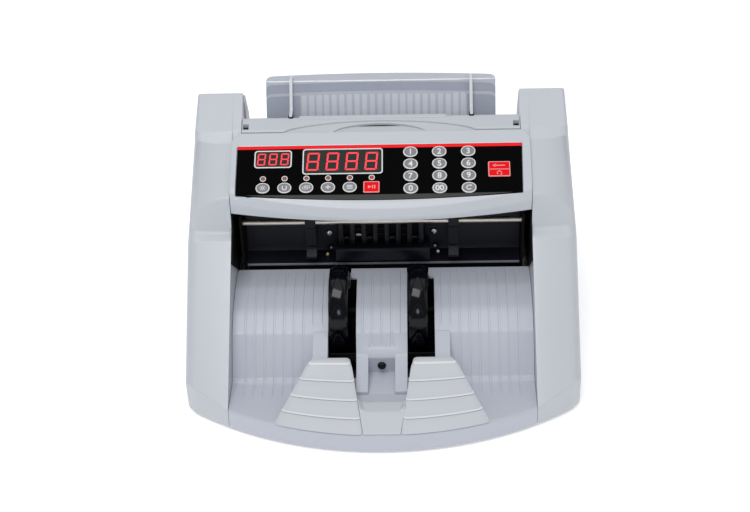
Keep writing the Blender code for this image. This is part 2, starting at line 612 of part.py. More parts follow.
prism("hopper_plate", [(112.4, 136.0), (96.0, 112.0), (92.0, 100.0), (94.0, 99.6), (97.8, 111.0), (114.0, 134.8)], 'X', -103.4, 103.4,
      M_BODY)
for side, sg in (("left", -1.0), ("right", 1.0)):
    prism(side + "_note_guide", [(94.5, 149.5), (108.5, 139.5), (111.0, 136.4), (98.0, 117.4), (94.5, 117.4)], 'X',
          sg * 84.0, sg * 87.0, M_STOP)

rear = prism("rear_cover", [(-113.0, 118.2), (113.0, 118.2), (113.0, 120.6), (-113.0, 120.6)], 'Z', BASE_Z, 134.0, M_BODY)
cut(rear, box("inlet_hole", 60.0, 88.0, 110.0, 125.0, 20.0, 40.4, None, tools))
cut(rear, box("switch_hole", 30.0, 50.6, 110.0, 125.0, 20.0, 33.4, None, tools))
inlet = box("power_inlet", 60.3, 87.7, 100.0, 122.0, 20.3, 40.1, M_BLACK)
join(inlet, box("inlet_flange", 54.0, 94.0, 120.9, 122.0, 17.0, 43.4, None, tools))
cut(inlet, box("inlet_socket", 63.0, 85.0, 106.0, 125.0, 23.0, 37.4, None, tools))
switch = lathe_x("power_switch_rocker", [(30.6, 9.0), (50.0, 9.0)], 112.6, 26.7, M_BLACK, 24)
boolean(switch, box("switch_form", 30.6, 50.0, 106.0, 124.0, 21.3, 32.1, None, tools), 'INTERSECT')

# drive motor beside the right frame plate
lathe_x("drive_motor", [(52.0, 3.0), (58.0, 3.0), (58.0, 22.0), (102.0, 22.0), (102.0, 8.0), (104.6, 8.0)], 68.0, 40.0, M_MOTOR, 24)

n_vis = [o for o in root.objects]
print("nodes", len(n_vis))
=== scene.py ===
# Looks of the banknote counting machine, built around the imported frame.
import bpy
import bmesh
import math
from mathutils import Vector, Matrix


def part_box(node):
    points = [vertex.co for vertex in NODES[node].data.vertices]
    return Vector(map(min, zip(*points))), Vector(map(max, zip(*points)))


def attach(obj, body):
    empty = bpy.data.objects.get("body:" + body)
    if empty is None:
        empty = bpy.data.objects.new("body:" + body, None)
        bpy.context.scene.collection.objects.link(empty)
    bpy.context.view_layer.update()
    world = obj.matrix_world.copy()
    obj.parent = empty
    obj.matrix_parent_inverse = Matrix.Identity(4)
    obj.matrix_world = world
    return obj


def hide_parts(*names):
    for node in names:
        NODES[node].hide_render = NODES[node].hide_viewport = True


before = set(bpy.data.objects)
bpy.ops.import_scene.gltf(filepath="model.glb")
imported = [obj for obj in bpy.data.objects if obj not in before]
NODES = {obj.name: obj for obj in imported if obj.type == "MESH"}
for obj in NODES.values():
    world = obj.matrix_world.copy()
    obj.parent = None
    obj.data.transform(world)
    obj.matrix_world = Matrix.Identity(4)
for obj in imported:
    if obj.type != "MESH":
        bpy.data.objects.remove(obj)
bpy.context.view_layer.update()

MM = 0.001
scene = bpy.context.scene
ROOT = scene.collection

# --------------------------------------------------------------- sizes (mm), the same frame as the CAD
HALF_W = 147.0
FRONT_Y = -122.0
ARC_R = 240.0
ARC_CY = FRONT_Y + ARC_R
IN_X = 113.4
EAR_X = 106.5
BASE_Z = 2.5
FLOOR_Z = 17.6
TILT = math.radians(28.0)
PANEL_Y, PANEL_Z = 10.34, 133.437
IMP_Y, IMP_Z, IMP_R = -10.0, 46.0, 36.0
ROD_Y, ROD_Z = 28.0, 103.0
EXIT_Y, EXIT_Z = 48.5, 92.0
FEED_Y, FEED_Z = 72.0, 112.0
PXF = Matrix(((1, 0, 0, 0), (0, math.cos(TILT), -math.sin(TILT), PANEL_Y),
              (0, math.sin(TILT), math.cos(TILT), PANEL_Z), (0, 0, 0, 1)))


# =============================================================== materials
def new_mat(name):
    m = bpy.data.materials.new(name)
    m.use_nodes = True
    nt = m.node_tree
    return m, nt, nt.nodes["Principled BSDF"]


def noise(nt, scale, detail=2.0, rough=0.5, stretch=None):
    tc = nt.nodes.new("ShaderNodeTexCoord")
    mp = nt.nodes.new("ShaderNodeMapping")
    nt.links.new(tc.outputs["Object"], mp.inputs["Vector"])
    if stretch:
        mp.inputs["Scale"].default_value = stretch
    n = nt.nodes.new("ShaderNodeTexNoise")
    n.inputs["Scale"].default_value = scale
    n.inputs["Detail"].default_value = detail
    n.inputs["Roughness"].default_value = rough
    nt.links.new(mp.outputs["Vector"], n.inputs["Vector"])
    return n


def ramp(nt, src, a, b, lo=0.3, hi=0.7):
    r = nt.nodes.new("ShaderNodeValToRGB")
    r.color_ramp.elements[0].position = lo
    r.color_ramp.elements[1].position = hi
    r.color_ramp.elements[0].color = (a[0], a[1], a[2], 1.0)
    r.color_ramp.elements[1].color = (b[0], b[1], b[2], 1.0)
    nt.links.new(src, r.inputs["Fac"])
    return r


def map_range(nt, src, a, b):
    r = nt.nodes.new("ShaderNodeMapRange")
    r.inputs["From Min"].default_value = 0.3
    r.inputs["From Max"].default_value = 0.7
    r.inputs["To Min"].default_value = a
    r.inputs["To Max"].default_value = b
    nt.links.new(src, r.inputs["Value"])
    return r


def plastic(name, rgb, rough=0.42, vary=0.03, grain=1500.0, bump=0.06, coat=0.0, spec=0.5, rvar=0.05, stretch=None):
    """Moulded plastic: fine spark-eroded grain, faint mottling in tone and gloss."""
    m, nt, b = new_mat(name)
    big = noise(nt, 22.0, 4.0, 0.55)
    lo = [c * (1 - vary) for c in rgb]
    hi = [min(1.0, c * (1 + vary)) for c in rgb]
    nt.links.new(ramp(nt, big.outputs["Fac"], lo, hi).outputs["Color"], b.inputs["Base Color"])
    mid = noise(nt, 160.0, 3.0, 0.6)
    nt.links.new(map_range(nt, mid.outputs["Fac"], rough - rvar, rough + rvar).outputs["Result"], b.inputs["Roughness"])
    fine = noise(nt, grain, 2.0, 0.6, stretch)
    bp = nt.nodes.new("ShaderNodeBump")
    bp.inputs["Strength"].default_value = bump
    bp.inputs["Distance"].default_value = 0.0002
    nt.links.new(fine.outputs["Fac"], bp.inputs["Height"])
    nt.links.new(bp.outputs["Normal"], b.inputs["Normal"])
    b.inputs["Specular IOR Level"].default_value = spec
    b.inputs["Coat Weight"].default_value = coat
    b.inputs["Coat Roughness"].default_value = 0.15
    return m


def metal(name, rgb, rough=0.3, stretch=(1.0, 1.0, 1.0), grain=400.0, bump=0.08):
    m, nt, b = new_mat(name)
    g = noise(nt, grain, 3.0, 0.6, stretch)
    lo = [c * 0.86 for c in rgb]
    nt.links.new(ramp(nt, g.outputs["Fac"], lo, rgb).outputs["Color"], b.inputs["Base Color"])
    nt.links.new(map_range(nt, g.outputs["Fac"], rough - 0.07, rough + 0.1).outputs["Result"], b.inputs["Roughness"])
    bp = nt.nodes.new("ShaderNodeBump")
    bp.inputs["Strength"].default_value = bump
    bp.inputs["Distance"].default_value = 0.0001
    nt.links.new(g.outputs["Fac"], bp.inputs["Height"])
    nt.links.new(bp.outputs["Normal"], b.inputs["Normal"])
    b.inputs["Metallic"].default_value = 1.0
    return m


def glow(name, rgb, emit, strength):
    m, nt, b = new_mat(name)
    n = noise(nt, 300.0, 2.0)
    nt.links.new(ramp(nt, n.outputs["Fac"], [c * 0.92 for c in rgb], rgb).outputs["Color"], b.inputs["Base Color"])
    b.inputs["Emission Color"].default_value = (emit[0], emit[1], emit[2], 1.0)
    b.inputs["Emission Strength"].default_value = strength
    b.inputs["Roughness"].default_value = 0.4
    return m


def clear_plastic(name, rgb, alpha, rough=0.12):
    """Smoky transparent plastic: part clear, part milky."""
    m, nt, b = new_mat(name)
    n = noise(nt, 60.0, 3.0, 0.5, (1.0, 1.0, 0.3))
    nt.links.new(ramp(nt, n.outputs["Fac"], [c * 0.95 for c in rgb], rgb).outputs["Color"], b.inputs["Base Color"])
    nt.links.new(map_range(nt, n.outputs["Fac"], rough, rough + 0.08).outputs["Result"], b.inputs["Roughness"])
    b.inputs["Alpha"].default_value = alpha
    b.inputs["IOR"].default_value = 1.49
    b.inputs["Coat Weight"].default_value = 0.6
    b.inputs["Coat Roughness"].default_value = 0.08
    return m


M_BODY = plastic("body_abs_grey", (0.500, 0.525, 0.570), 0.40, 0.012, 1700.0, 0.05)
M_TRAY = plastic("tray_abs_grey", (0.475, 0.500, 0.570), 0.42, 0.012, 1700.0, 0.05)
M_STOP = plastic("stop_abs_pale", (0.528, 0.552, 0.590), 0.44, 0.012, 1700.0, 0.06)
# paler copy of the stop plastic: painted highlight for the top rim and the step edges
M_STOP_PAINTED_HIGHLIGHT = plastic("stop_abs_painted_highlight", (0.700, 0.722, 0.750), 0.44, 0.012, 1700.0, 0.06)
M_LID = plastic("lid_abs_grey", (0.490, 0.515, 0.555), 0.42, 0.012, 1700.0, 0.05)
M_FILM = plastic("overlay_black", (0.0012, 0.0012, 0.0014), 0.55, 0.05, 2200.0, 0.02, 0.0, 0.02)
M_STRIPE = plastic("overlay_red", (0.86, 0.004, 0.006), 0.5, 0.02, 2200.0, 0.02, 0.0, 0.2)
M_EDGE = plastic("overlay_edge", (0.56, 0.78, 0.84), 0.45, 0.02, 2200.0, 0.02, 0.0, 0.3)
M_LENS = plastic("overlay_lens", (0.020, 0.020, 0.021), 0.35, 0.05, 2200.0, 0.02, 0.0, 0.4)
M_KEY = plastic("key_fill", (0.215, 0.215, 0.225), 0.55, 0.03, 2000.0, 0.03, 0.0, 0.3)
M_INK = plastic("print_white", (0.70, 0.70, 0.72), 0.5, 0.02, 2000.0, 0.02, 0.0, 0.3)
M_RED = plastic("key_red_fill", (0.78, 0.004, 0.008), 0.55, 0.03, 2000.0, 0.03, 0.0, 0.08)
M_PINK = plastic("key_red_edge", (0.80, 0.30, 0.30), 0.5, 0.03, 2000.0, 0.02, 0.0, 0.3)
M_WINDOW = plastic("display_window", (0.0035, 0.0065, 0.0060), 0.30, 0.05, 2000.0, 0.01, 0.0, 0.3)
M_SEG = glow("segment_lit", (0.62, 0.012, 0.022), (1.0, 0.040, 0.060), 0.72)
M_DOT = plastic("segment_unlit", (0.035, 0.006, 0.010), 0.4, 0.03, 2000.0, 0.01)
M_LAMP = plastic("lamp_amber_lens", (0.26, 0.055, 0.008), 0.28, 0.05, 900.0, 0.02, 0.3)
M_LAMPR = plastic("lamp_red_lens", (0.42, 0.02, 0.01), 0.28, 0.05, 900.0, 0.02, 0.3)
M_INNER = plastic("inner_black_paint", (0.0062, 0.0066, 0.0120), 0.38, 0.10, 900.0, 0.05, 0.0, 0.24)
M_BLACK = plastic("inner_black_abs", (0.0036, 0.0040, 0.0085), 0.40, 0.10, 1200.0, 0.05, 0.0, 0.20)
M_WHEEL = plastic("wheel_gloss_black", (0.0020, 0.0023, 0.0044), 0.11, 0.05, 700.0, 0.015, 0.0, 0.22)
# greyish strip colour on the black inner edges: painted highlight
M_LIP_PAINTED_HIGHLIGHT = plastic("inner_painted_highlight_edge", (0.170, 0.172, 0.215), 0.35, 0.25, 500.0, 0.08, 0.0, 0.5)
M_DARK = plastic("inner_matt_black", (0.0016, 0.0016, 0.0020), 0.6, 0.10, 1200.0, 0.05, 0.0, 0.12)
M_RUBBER = plastic("roller_rubber", (0.020, 0.020, 0.022), 0.75, 0.08, 900.0, 0.25, 0.0, 0.3)
M_FOOT = plastic("foot_rubber", (0.012, 0.012, 0.013), 0.8, 0.08, 900.0, 0.3, 0.0, 0.3)
M_ROD = metal("rod_steel", (0.62, 0.56, 0.50), 0.32, (0.2, 3.0, 3.0))
M_SCREW = metal("screw_zinc", (0.62, 0.66, 0.64), 0.28)
M_BRASS = metal("screw_brass", (0.60, 0.50, 0.24), 0.30)
M_PAN = metal("pan_zinc_sheet", (0.45, 0.46, 0.48), 0.42, (1.0, 6.0, 1.0), 120.0)
M_MOTOR = metal("motor_case", (0.40, 0.41, 0.43), 0.4)
M_CLEAR = clear_plastic("clear_smoky", (0.330, 0.362, 0.440), 0.88, 0.14)
M_FLUTE = clear_plastic("clear_fluted", (0.530, 0.555, 0.620), 0.95, 0.20)
# darker copy of the fluted clear plastic: painted shade in the flute valleys
M_FLUTE_PAINTED_SHADE = clear_plastic("clear_flute_valley_painted_shade", (0.420, 0.445, 0.515), 0.95, 0.20)
# paler clear plastic: painted highlight on the top flange and the bead below it
M_CLEAR_PAINTED_HIGHLIGHT = clear_plastic("clear_fold_painted_highlight", (0.440, 0.465, 0.530), 0.93, 0.14)
M_RIB = plastic("rib_white", (0.58, 0.60, 0.64), 0.38, 0.02, 1500.0, 0.04)
M_BOARD = plastic("board_green", (0.02, 0.12, 0.05), 0.45, 0.15, 300.0, 0.1)
M_LABEL = plastic("plain_label", (0.55, 0.56, 0.57), 0.35, 0.02, 1500.0, 0.02)


# =============================================================== mesh helpers
def to_object(name, bm, mats, smooth=35.0, xf=None, doubles=0.0004):
    if doubles:
        bmesh.ops.remove_doubles(bm, verts=bm.verts, dist=doubles)
    bmesh.ops.dissolve_degenerate(bm, dist=0.0002, edges=bm.edges)
    if xf is not None:
        bmesh.ops.transform(bm, matrix=xf, verts=bm.verts)
    bmesh.ops.recalc_face_normals(bm, faces=bm.faces)
    for v in bm.verts:
        v.co *= MM
    me = bpy.data.meshes.new(name)
    bm.to_mesh(me)
    bm.free()
    if not isinstance(mats, (list, tuple)):
        mats = [mats]
    for m in mats:
        me.materials.append(m)
    ob = bpy.data.objects.new(name, me)
    ROOT.objects.link(ob)
    shade(ob, smooth)
    return ob


def shade(ob, angle=35.0):
    me = ob.data
    if angle is None:
        for p in me.polygons:
            p.use_smooth = False
        return ob
    for p in me.polygons:
        p.use_smooth = True
    me.set_sharp_from_angle(angle=math.radians(angle))
    return ob


def bake(ob, angle=35.0):
    """Replace the mesh by its evaluated form and drop the modifiers."""
    dg = bpy.context.evaluated_depsgraph_get()
    dg.update()
    me = bpy.data.meshes.new_from_object(ob.evaluated_get(dg))
    me.name = ob.name
    old = ob.data
    ob.modifiers.clear()
    ob.data = me
    bpy.data.meshes.remove(old)
    if angle is not None:
        shade(ob, angle)
    return ob


def combine(name, obs):
    """Join finished objects into one (keeps their materials)."""
    mats, bm = [], bmesh.new()
    for o in obs:
        n0 = len(bm.faces)
        idx = []
        for m in o.data.materials:
            if m not in mats:
                mats.append(m)
            idx.append(mats.index(m))
        me = o.data.copy()
        me.transform(o.matrix_world)
        bm.from_mesh(me)
        bm.faces.ensure_lookup_table()
        for f in bm.faces[n0:]:
            f.material_index = idx[min(f.material_index, len(idx) - 1)] if idx else 0
        bpy.data.meshes.remove(me)
    me = bpy.data.meshes.new(name)
    bm.to_mesh(me)
    bm.free()
    for m in mats:
        me.materials.append(m)
    for o in obs:
        d = o.data
        bpy.data.objects.remove(o)
        if d.users == 0:
            bpy.data.meshes.remove(d)
    ob = bpy.data.objects.new(name, me)
    ROOT.objects.link(ob)
    return ob


def rings_mesh(rings, cap=True, closed=True, mat_fn=None):
    bm = bmesh.new()
    rows = [[bm.verts.new(p) for p in r] for r in rings]
    n = len(rows[0])
    for j, (a, b) in enumerate(zip(rows[:-1], rows[1:])):
        for i in range(n if closed else n - 1):
            k = (i + 1) % n
            f = bm.faces.new((a[i], a[k], b[k], b[i]))
            if mat_fn:
                f.material_index = mat_fn(j, i)
    if cap:
        f0 = bm.faces.new(list(reversed(rows[0])))
        f1 = bm.faces.new(rows[-1])
        if mat_fn:
            f0.material_index = mat_fn(-1, 0)
            f1.material_index = mat_fn(len(rows) - 1, 0)
    return bm


def loft(name, rings, mats, smooth=35.0, xf=None, mat_fn=None):
    return to_object(name, rings_mesh(rings, True, True, mat_fn), mats, smooth, xf)


def fillet(corners, seg=5, closed=True):
    """corners = [(a, b, radius)]; every corner gives seg + 1 points."""
    n = len(corners)
    out = []
    for i, (x, y, r) in enumerate(corners):
        p = Vector((x, y))
        if not closed and i in (0, n - 1):
            out += [tuple(p)]
            continue
        a = Vector(corners[i - 1][:2])
        b = Vector(corners[(i + 1) % n][:2])
        da, db = a - p, b - p
        la, lb = da.length, db.length
        if la < 1e-6 or lb < 1e-6:
            out += [tuple(p)] * (seg + 1)
            continue
        da.normalize()
        db.normalize()
        cosv = max(-1.0, min(1.0, da.dot(db)))
        ang = math.acos(cosv)
        if r <= 0 or math.pi - ang < 0.01:
            e = 0.02 if r > 0 else 0.0
            out += [tuple(p + (da * (1 - k / seg) - da * (k / seg)) * e) for k in range(seg + 1)]
            continue
        t = min(r / math.tan(ang / 2), 0.46 * min(la, lb))
        rr = t * math.tan(ang / 2)
        bis = (da + db).normalized()
        c = p + bis * (rr / math.sin(ang / 2))
        s0, s1 = p + da * t - c, p + db * t - c
        a0 = math.atan2(s0.y, s0.x)
        d = math.atan2(s1.y, s1.x) - a0
        while d > math.pi:
            d -= 2 * math.pi
        while d < -math.pi:
            d += 2 * math.pi
        for k in range(seg + 1):
            q = a0 + d * k / seg
            out.append((c.x + rr * math.cos(q), c.y + rr * math.sin(q)))
    return out


def prism(name, pts, axis, a, b, mats, bevel=0.0, segs=3, xf=None, smooth=35.0, hole_loops=None):
    bm = bmesh.new()
    if axis == 'X':
        co = [(a, p[0], p[1]) for p in pts]
        d = Vector((b - a, 0, 0))
    elif axis == 'Y':
        co = [(p[0], a, p[1]) for p in pts]
        d = Vector((0, b - a, 0))
    else:
        co = [(p[0], p[1], a) for p in pts]
        d = Vector((0, 0, b - a))
    f = bm.faces.new([bm.verts.new(c) for c in co])
    r = bmesh.ops.extrude_face_region(bm, geom=[f])
    bmesh.ops.translate(bm, vec=d, verts=[g for g in r["geom"] if isinstance(g, bmesh.types.BMVert)])
    ob = to_object(name, bm, mats, smooth, xf)
    if bevel > 0:
        add_bevel(ob, bevel, segs)
    return ob


def add_bevel(ob, width, segs=3, angle=40.0, wn=True):
    m = ob.modifiers.new("edge_round", 'BEVEL')
    m.width = width * MM
    m.segments = segs
    m.limit_method = 'ANGLE'
    m.angle_limit = math.radians(angle)
    m.use_clamp_overlap = True
    m.harden_normals = False
    for p in ob.data.polygons:
        p.use_smooth = True
    if wn:
        w = ob.modifiers.new("flat_faces", 'WEIGHTED_NORMAL')
        w.keep_sharp = False
        w.weight = 60
    return ob


def boolean(ob, tools, op='DIFFERENCE'):
    for t in tools:
        m = ob.modifiers.new("b", 'BOOLEAN')
        m.operation = op
        m.solver = 'EXACT'
        m.object = t
    bake(ob, 35.0)
    for t in tools:
        d = t.data
        bpy.data.objects.remove(t)
        bpy.data.meshes.remove(d)
    return ob


def lathe(name, prof, axis, c, mats, seg=48, smooth=35.0, mat_fn=None, xf=None):
    """prof = [(along, radius)]; c = the two other coordinates of the axis."""
    rings = []
    for s, r in prof:
        ring = []
        for k in range(seg):
            a = 2 * math.pi * k / seg
            u, v = r * math.cos(a), r * math.sin(a)
            if axis == 'X':
                ring.append((s, c[0] + u, c[1] + v))
            elif axis == 'Y':
                ring.append((c[0] + u, s, c[1] + v))
            else:
                ring.append((c[0] + u, c[1] + v, s))
        rings.append(ring)
    return loft(name, rings, mats, smooth, xf, mat_fn)


def box(name, x0, x1, y0, y1, z0, z1, mats, bevel=0.0, segs=3, xf=None):
    return prism(name, [(x0, y0), (x1, y0), (x1, y1), (x0, y1)], 'Z', z0, z1, mats, bevel, segs, xf)


def rrect(x0, x1, y0, y1, r, seg=6):
    return fillet([(x0, y0, r), (x1, y0, r), (x1, y1, r), (x0, y1, r)], seg)


def oval(cx, cv, w, h, n=56):
    pts = []
    for k in range(n):
        a = 2 * math.pi * (k + 0.5) / n
        c, s = math.cos(a), math.sin(a)
        pts.append((cx + w / 2 * math.copysign(abs(c) ** 0.94, c), cv + h / 2 * math.copysign(abs(s) ** 0.94, s)))
    return pts


def done(ob, body, slot, *replaced):
    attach(ob, body)
    if replaced:
        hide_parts(*replaced)
    return ob


def front_y(x):
    return ARC_CY - math.sqrt(max(ARC_R ** 2 - x * x, 0.0))


def lerp(a, b, t):
    return a + (b - a) * t


# =============================================================== side covers
def cover_corners(u, ear_only=False):
    """Outline corners (y, z, fillet radius, edge radius) from inner wall u = 0 to outer wall u = 1."""
    x = IN_X + (HALF_W - IN_X) * u
    yf = front_y(min(x, 143.5))
    zc = 17.0 + 10.0 * min(1.0, u * 1.15) ** 0.8
    f = math.sqrt(max(0.0, 1.0 - min(1.0, u / 0.93) ** 2))
    f2 = f ** 0.8
    if ear_only:
        yb = 57.3 + (IN_X - x) * 1.08
        return [(yb, 146.2, 0.1, 0), (yb, 147.6, 0.1, 0), (yb, 149.0, 0.1, 0), (yb, 150.4, 0.1, 0), (yb, 152.6, 0.3, 0),
                (max(yb + 0.6, 60.5), 156.6 + max(0.0, yb - 60.0) * 0.5, 1.0, 0), (66.6, 162.9, 3.0, 0), (94.0, 180.0, 1.4, 0), (112.0, 150.0, 6.0, 0),
                (114.2, 124.0, 1.0, 0), (100.0, 124.0, 0.6, 0)]
    return [
        (yf, BASE_Z, 0.5, 9.0),
        (yf, zc, 2.2, 8.5),
        (4.5, 101.9, 4.0, 7.0),
        (12.4 + 0.3 * (1 - f2), 105.4 + 2.7 * (1 - f2), 4.5, 7.0),
        (lerp(13.9, 15.0, f2), lerp(109.2, 133.0, f2), 3.6, 7.0),
        (57.6 + 4.6 * u ** 3, 155.8 + 1.6 * u ** 3, 4.5, 6.0),
        (64.6 + 1.8 * u, 162.3 - 0.6 * u, 3.6, 3.0),
        (94.0, 180.0, 1.4, 1.6),
        (112.0, 150.0, 6.0, 3.0),
        (118.6, 60.0, 10.0, 4.0),
        (120.6, BASE_Z, 0.5, 4.0),
    ]


def side_half(z):
    return HALF_W - (0.0 if z < 100.0 else (z - 100.0) * 5.8 / 78.0)


def cover_ring(sign, x, ear_only=False, shrink=0.0):
    u = max(0.0, min(1.0, (x - IN_X) / (HALF_W - IN_X)))
    cs = cover_corners(u, ear_only)
    n = len(cs)
    area = sum(cs[i][0] * cs[(i + 1) % n][1] - cs[(i + 1) % n][0] * cs[i][1] for i in range(n))
    s = 1.0 if area > 0 else -1.0
    new = []
    for i, (y, z, r, R) in enumerate(cs):
        ins = shrink
        if R > 0:
            q = max(0.0, x - (HALF_W - R))
            ins += R - math.sqrt(max(0.0, R * R - q * q))
        p0, p1, p2 = Vector(cs[i - 1][:2]), Vector((y, z)), Vector(cs[(i + 1) % n][:2])
        e1, e2 = (p1 - p0).normalized(), (p2 - p1).normalized()
        n1, n2 = Vector((-e1.y, e1.x)) * s, Vector((-e2.y, e2.x)) * s
        m = n1 + n2
        k = max(m.length_squared * 0.5, 0.4)
        d = m / k
        if i == 0 and not ear_only:
            d = Vector((1.0, 0.0))
        if i == n - 1 and not ear_only:
            d = Vector((-1.0, 0.0))
        cross = e1.x * e2.y - e1.y * e2.x
        rr = (max(r - ins, 0.25) if cross * s > 0 else r + ins)
        new.append((y + d.x * ins, z + d.y * ins, rr))
    pts = fillet(new, 6)
    out = []
    for y, z in pts:
        k = (side_half(z) - IN_X) / (HALF_W - IN_X)
        xx = IN_X + (x - IN_X) * k if x > IN_X else x
        out.append((sign * xx, y, z))
    return out


def core_ring(sign, x, ins):
    u = max(0.0, min(1.0, (x - IN_X) / (HALF_W - IN_X)))
    yf = front_y(min(x, 143.5))
    zc = 16.0 + 10.0 * min(1.0, u * 1.15) ** 0.8
    f = math.sqrt(max(0.0, 1.0 - min(1.0, u / 0.93) ** 2))
    cs = [(yf + 2.5 + ins, -16.0, 0.1), (yf + 2.5 + ins, zc - 2.0, 2.0), (11.5 + ins, 103.0 - ins, 3.0),
          (17.5 + ins, 106.0 + 19.0 * f - ins, 3.0), (66.5, 153.0 - ins, 3.0), (93.8 - ins * 0.3, 170.5 - ins, 3.0),
          (108.6 - ins, 147.0, 4.0), (115.6 - ins, 60.0, 4.0), (118.0 - ins, -16.0, 0.1)]
    return [(sign * (IN_X + (x - IN_X) * (side_half(z) - IN_X) / (HALF_W - IN_X)), y, z) for y, z in fillet(cs, 3)]


def side_cover(side, sg):
    xs = [IN_X + (138.0 - IN_X) * k / 16.0 for k in range(17)]
    for a in range(6, 90, 7):
        xs.append(138.0 + 9.0 * math.sin(math.radians(a)))
    xs.append(HALF_W)
    rings = [cover_ring(sg, EAR_X, True), cover_ring(sg, IN_X, True)] + [cover_ring(sg, x) for x in xs]
    ob = loft(side + "_side_cover_shell", rings, M_BODY, 32.0)
    cx = [IN_X + 2.5 + (138.0 - IN_X - 2.5) * k / 5.0 for k in range(6)] + [140.0, 141.6, 142.5]
    ins = [0.0] * 6 + [0.5, 1.7, 3.6]
    core = loft("core", [core_ring(sg, x, i) for x, i in zip(cx, ins)], M_BODY, None)
    boolean(ob, [core])
    add_bevel(ob, 0.55, 2, 50.0)
    return done(ob, "base", "body_plastic", side + "_side_cover")


for _side, _sg in (("left", -1.0), ("right", 1.0)):
    side_cover(_side, _sg)

# =============================================================== stacker tray
TOP = [(24.0, 61.5, 0.0), (2.0, 60.9, 20.0), (-22.0, 55.4, 25.0), (-37.2, 45.8, 9.0), (-58.6, 18.9, 3.0)]
TRAY_HALF = IN_X - 0.3


def tray_profile(seg=9):
    """Top line of the tray from the rear edge to the foot of the slope."""
    pts = [TOP[0][:2]]
    f = fillet(TOP + [(-90.0, FLOOR_Z, 0.0)], seg, False)
    return f[:-1]


GROOVES = []      # (centre x, rear y, front y)
for k in range(-15, 16):
    gx = k * 7.35 - 0.6
    if abs(gx) > TRAY_HALF - 3.5:
        continue
    if -44.0 < gx < -16.5 or 15.5 < gx < 43.0:
        continue
    if -16.5 <= gx <= 15.5:
        GROOVES.append((gx, 20.0, -45.5))
    elif -54.0 < gx < -38.0 or 37.0 < gx < 52.0:
        GROOVES.append((gx, 20.0, -30.0))
    else:
        GROOVES.append((gx, 20.0, -76.0))


def groove_depth(x, y):
    """Narrow moulded groove with rounded ends; its two edges read as a double line."""
    best = 0.0
    for gx, y0, y1 in GROOVES:
        dx = abs(x - gx)
        if dx > 1.2 or y > y0 + 1.2 or y < y1 - 1.2:
            continue
        if y > y0:
            d = math.hypot(dx, y - y0)
        elif y < y1:
            d = math.hypot(dx, y1 - y)
        else:
            d = dx
        t = max(0.0, min(1.0, (0.92 - d) / 0.34))
        best = max(best, 0.50 * t * t * (3 - 2 * t))
    return best


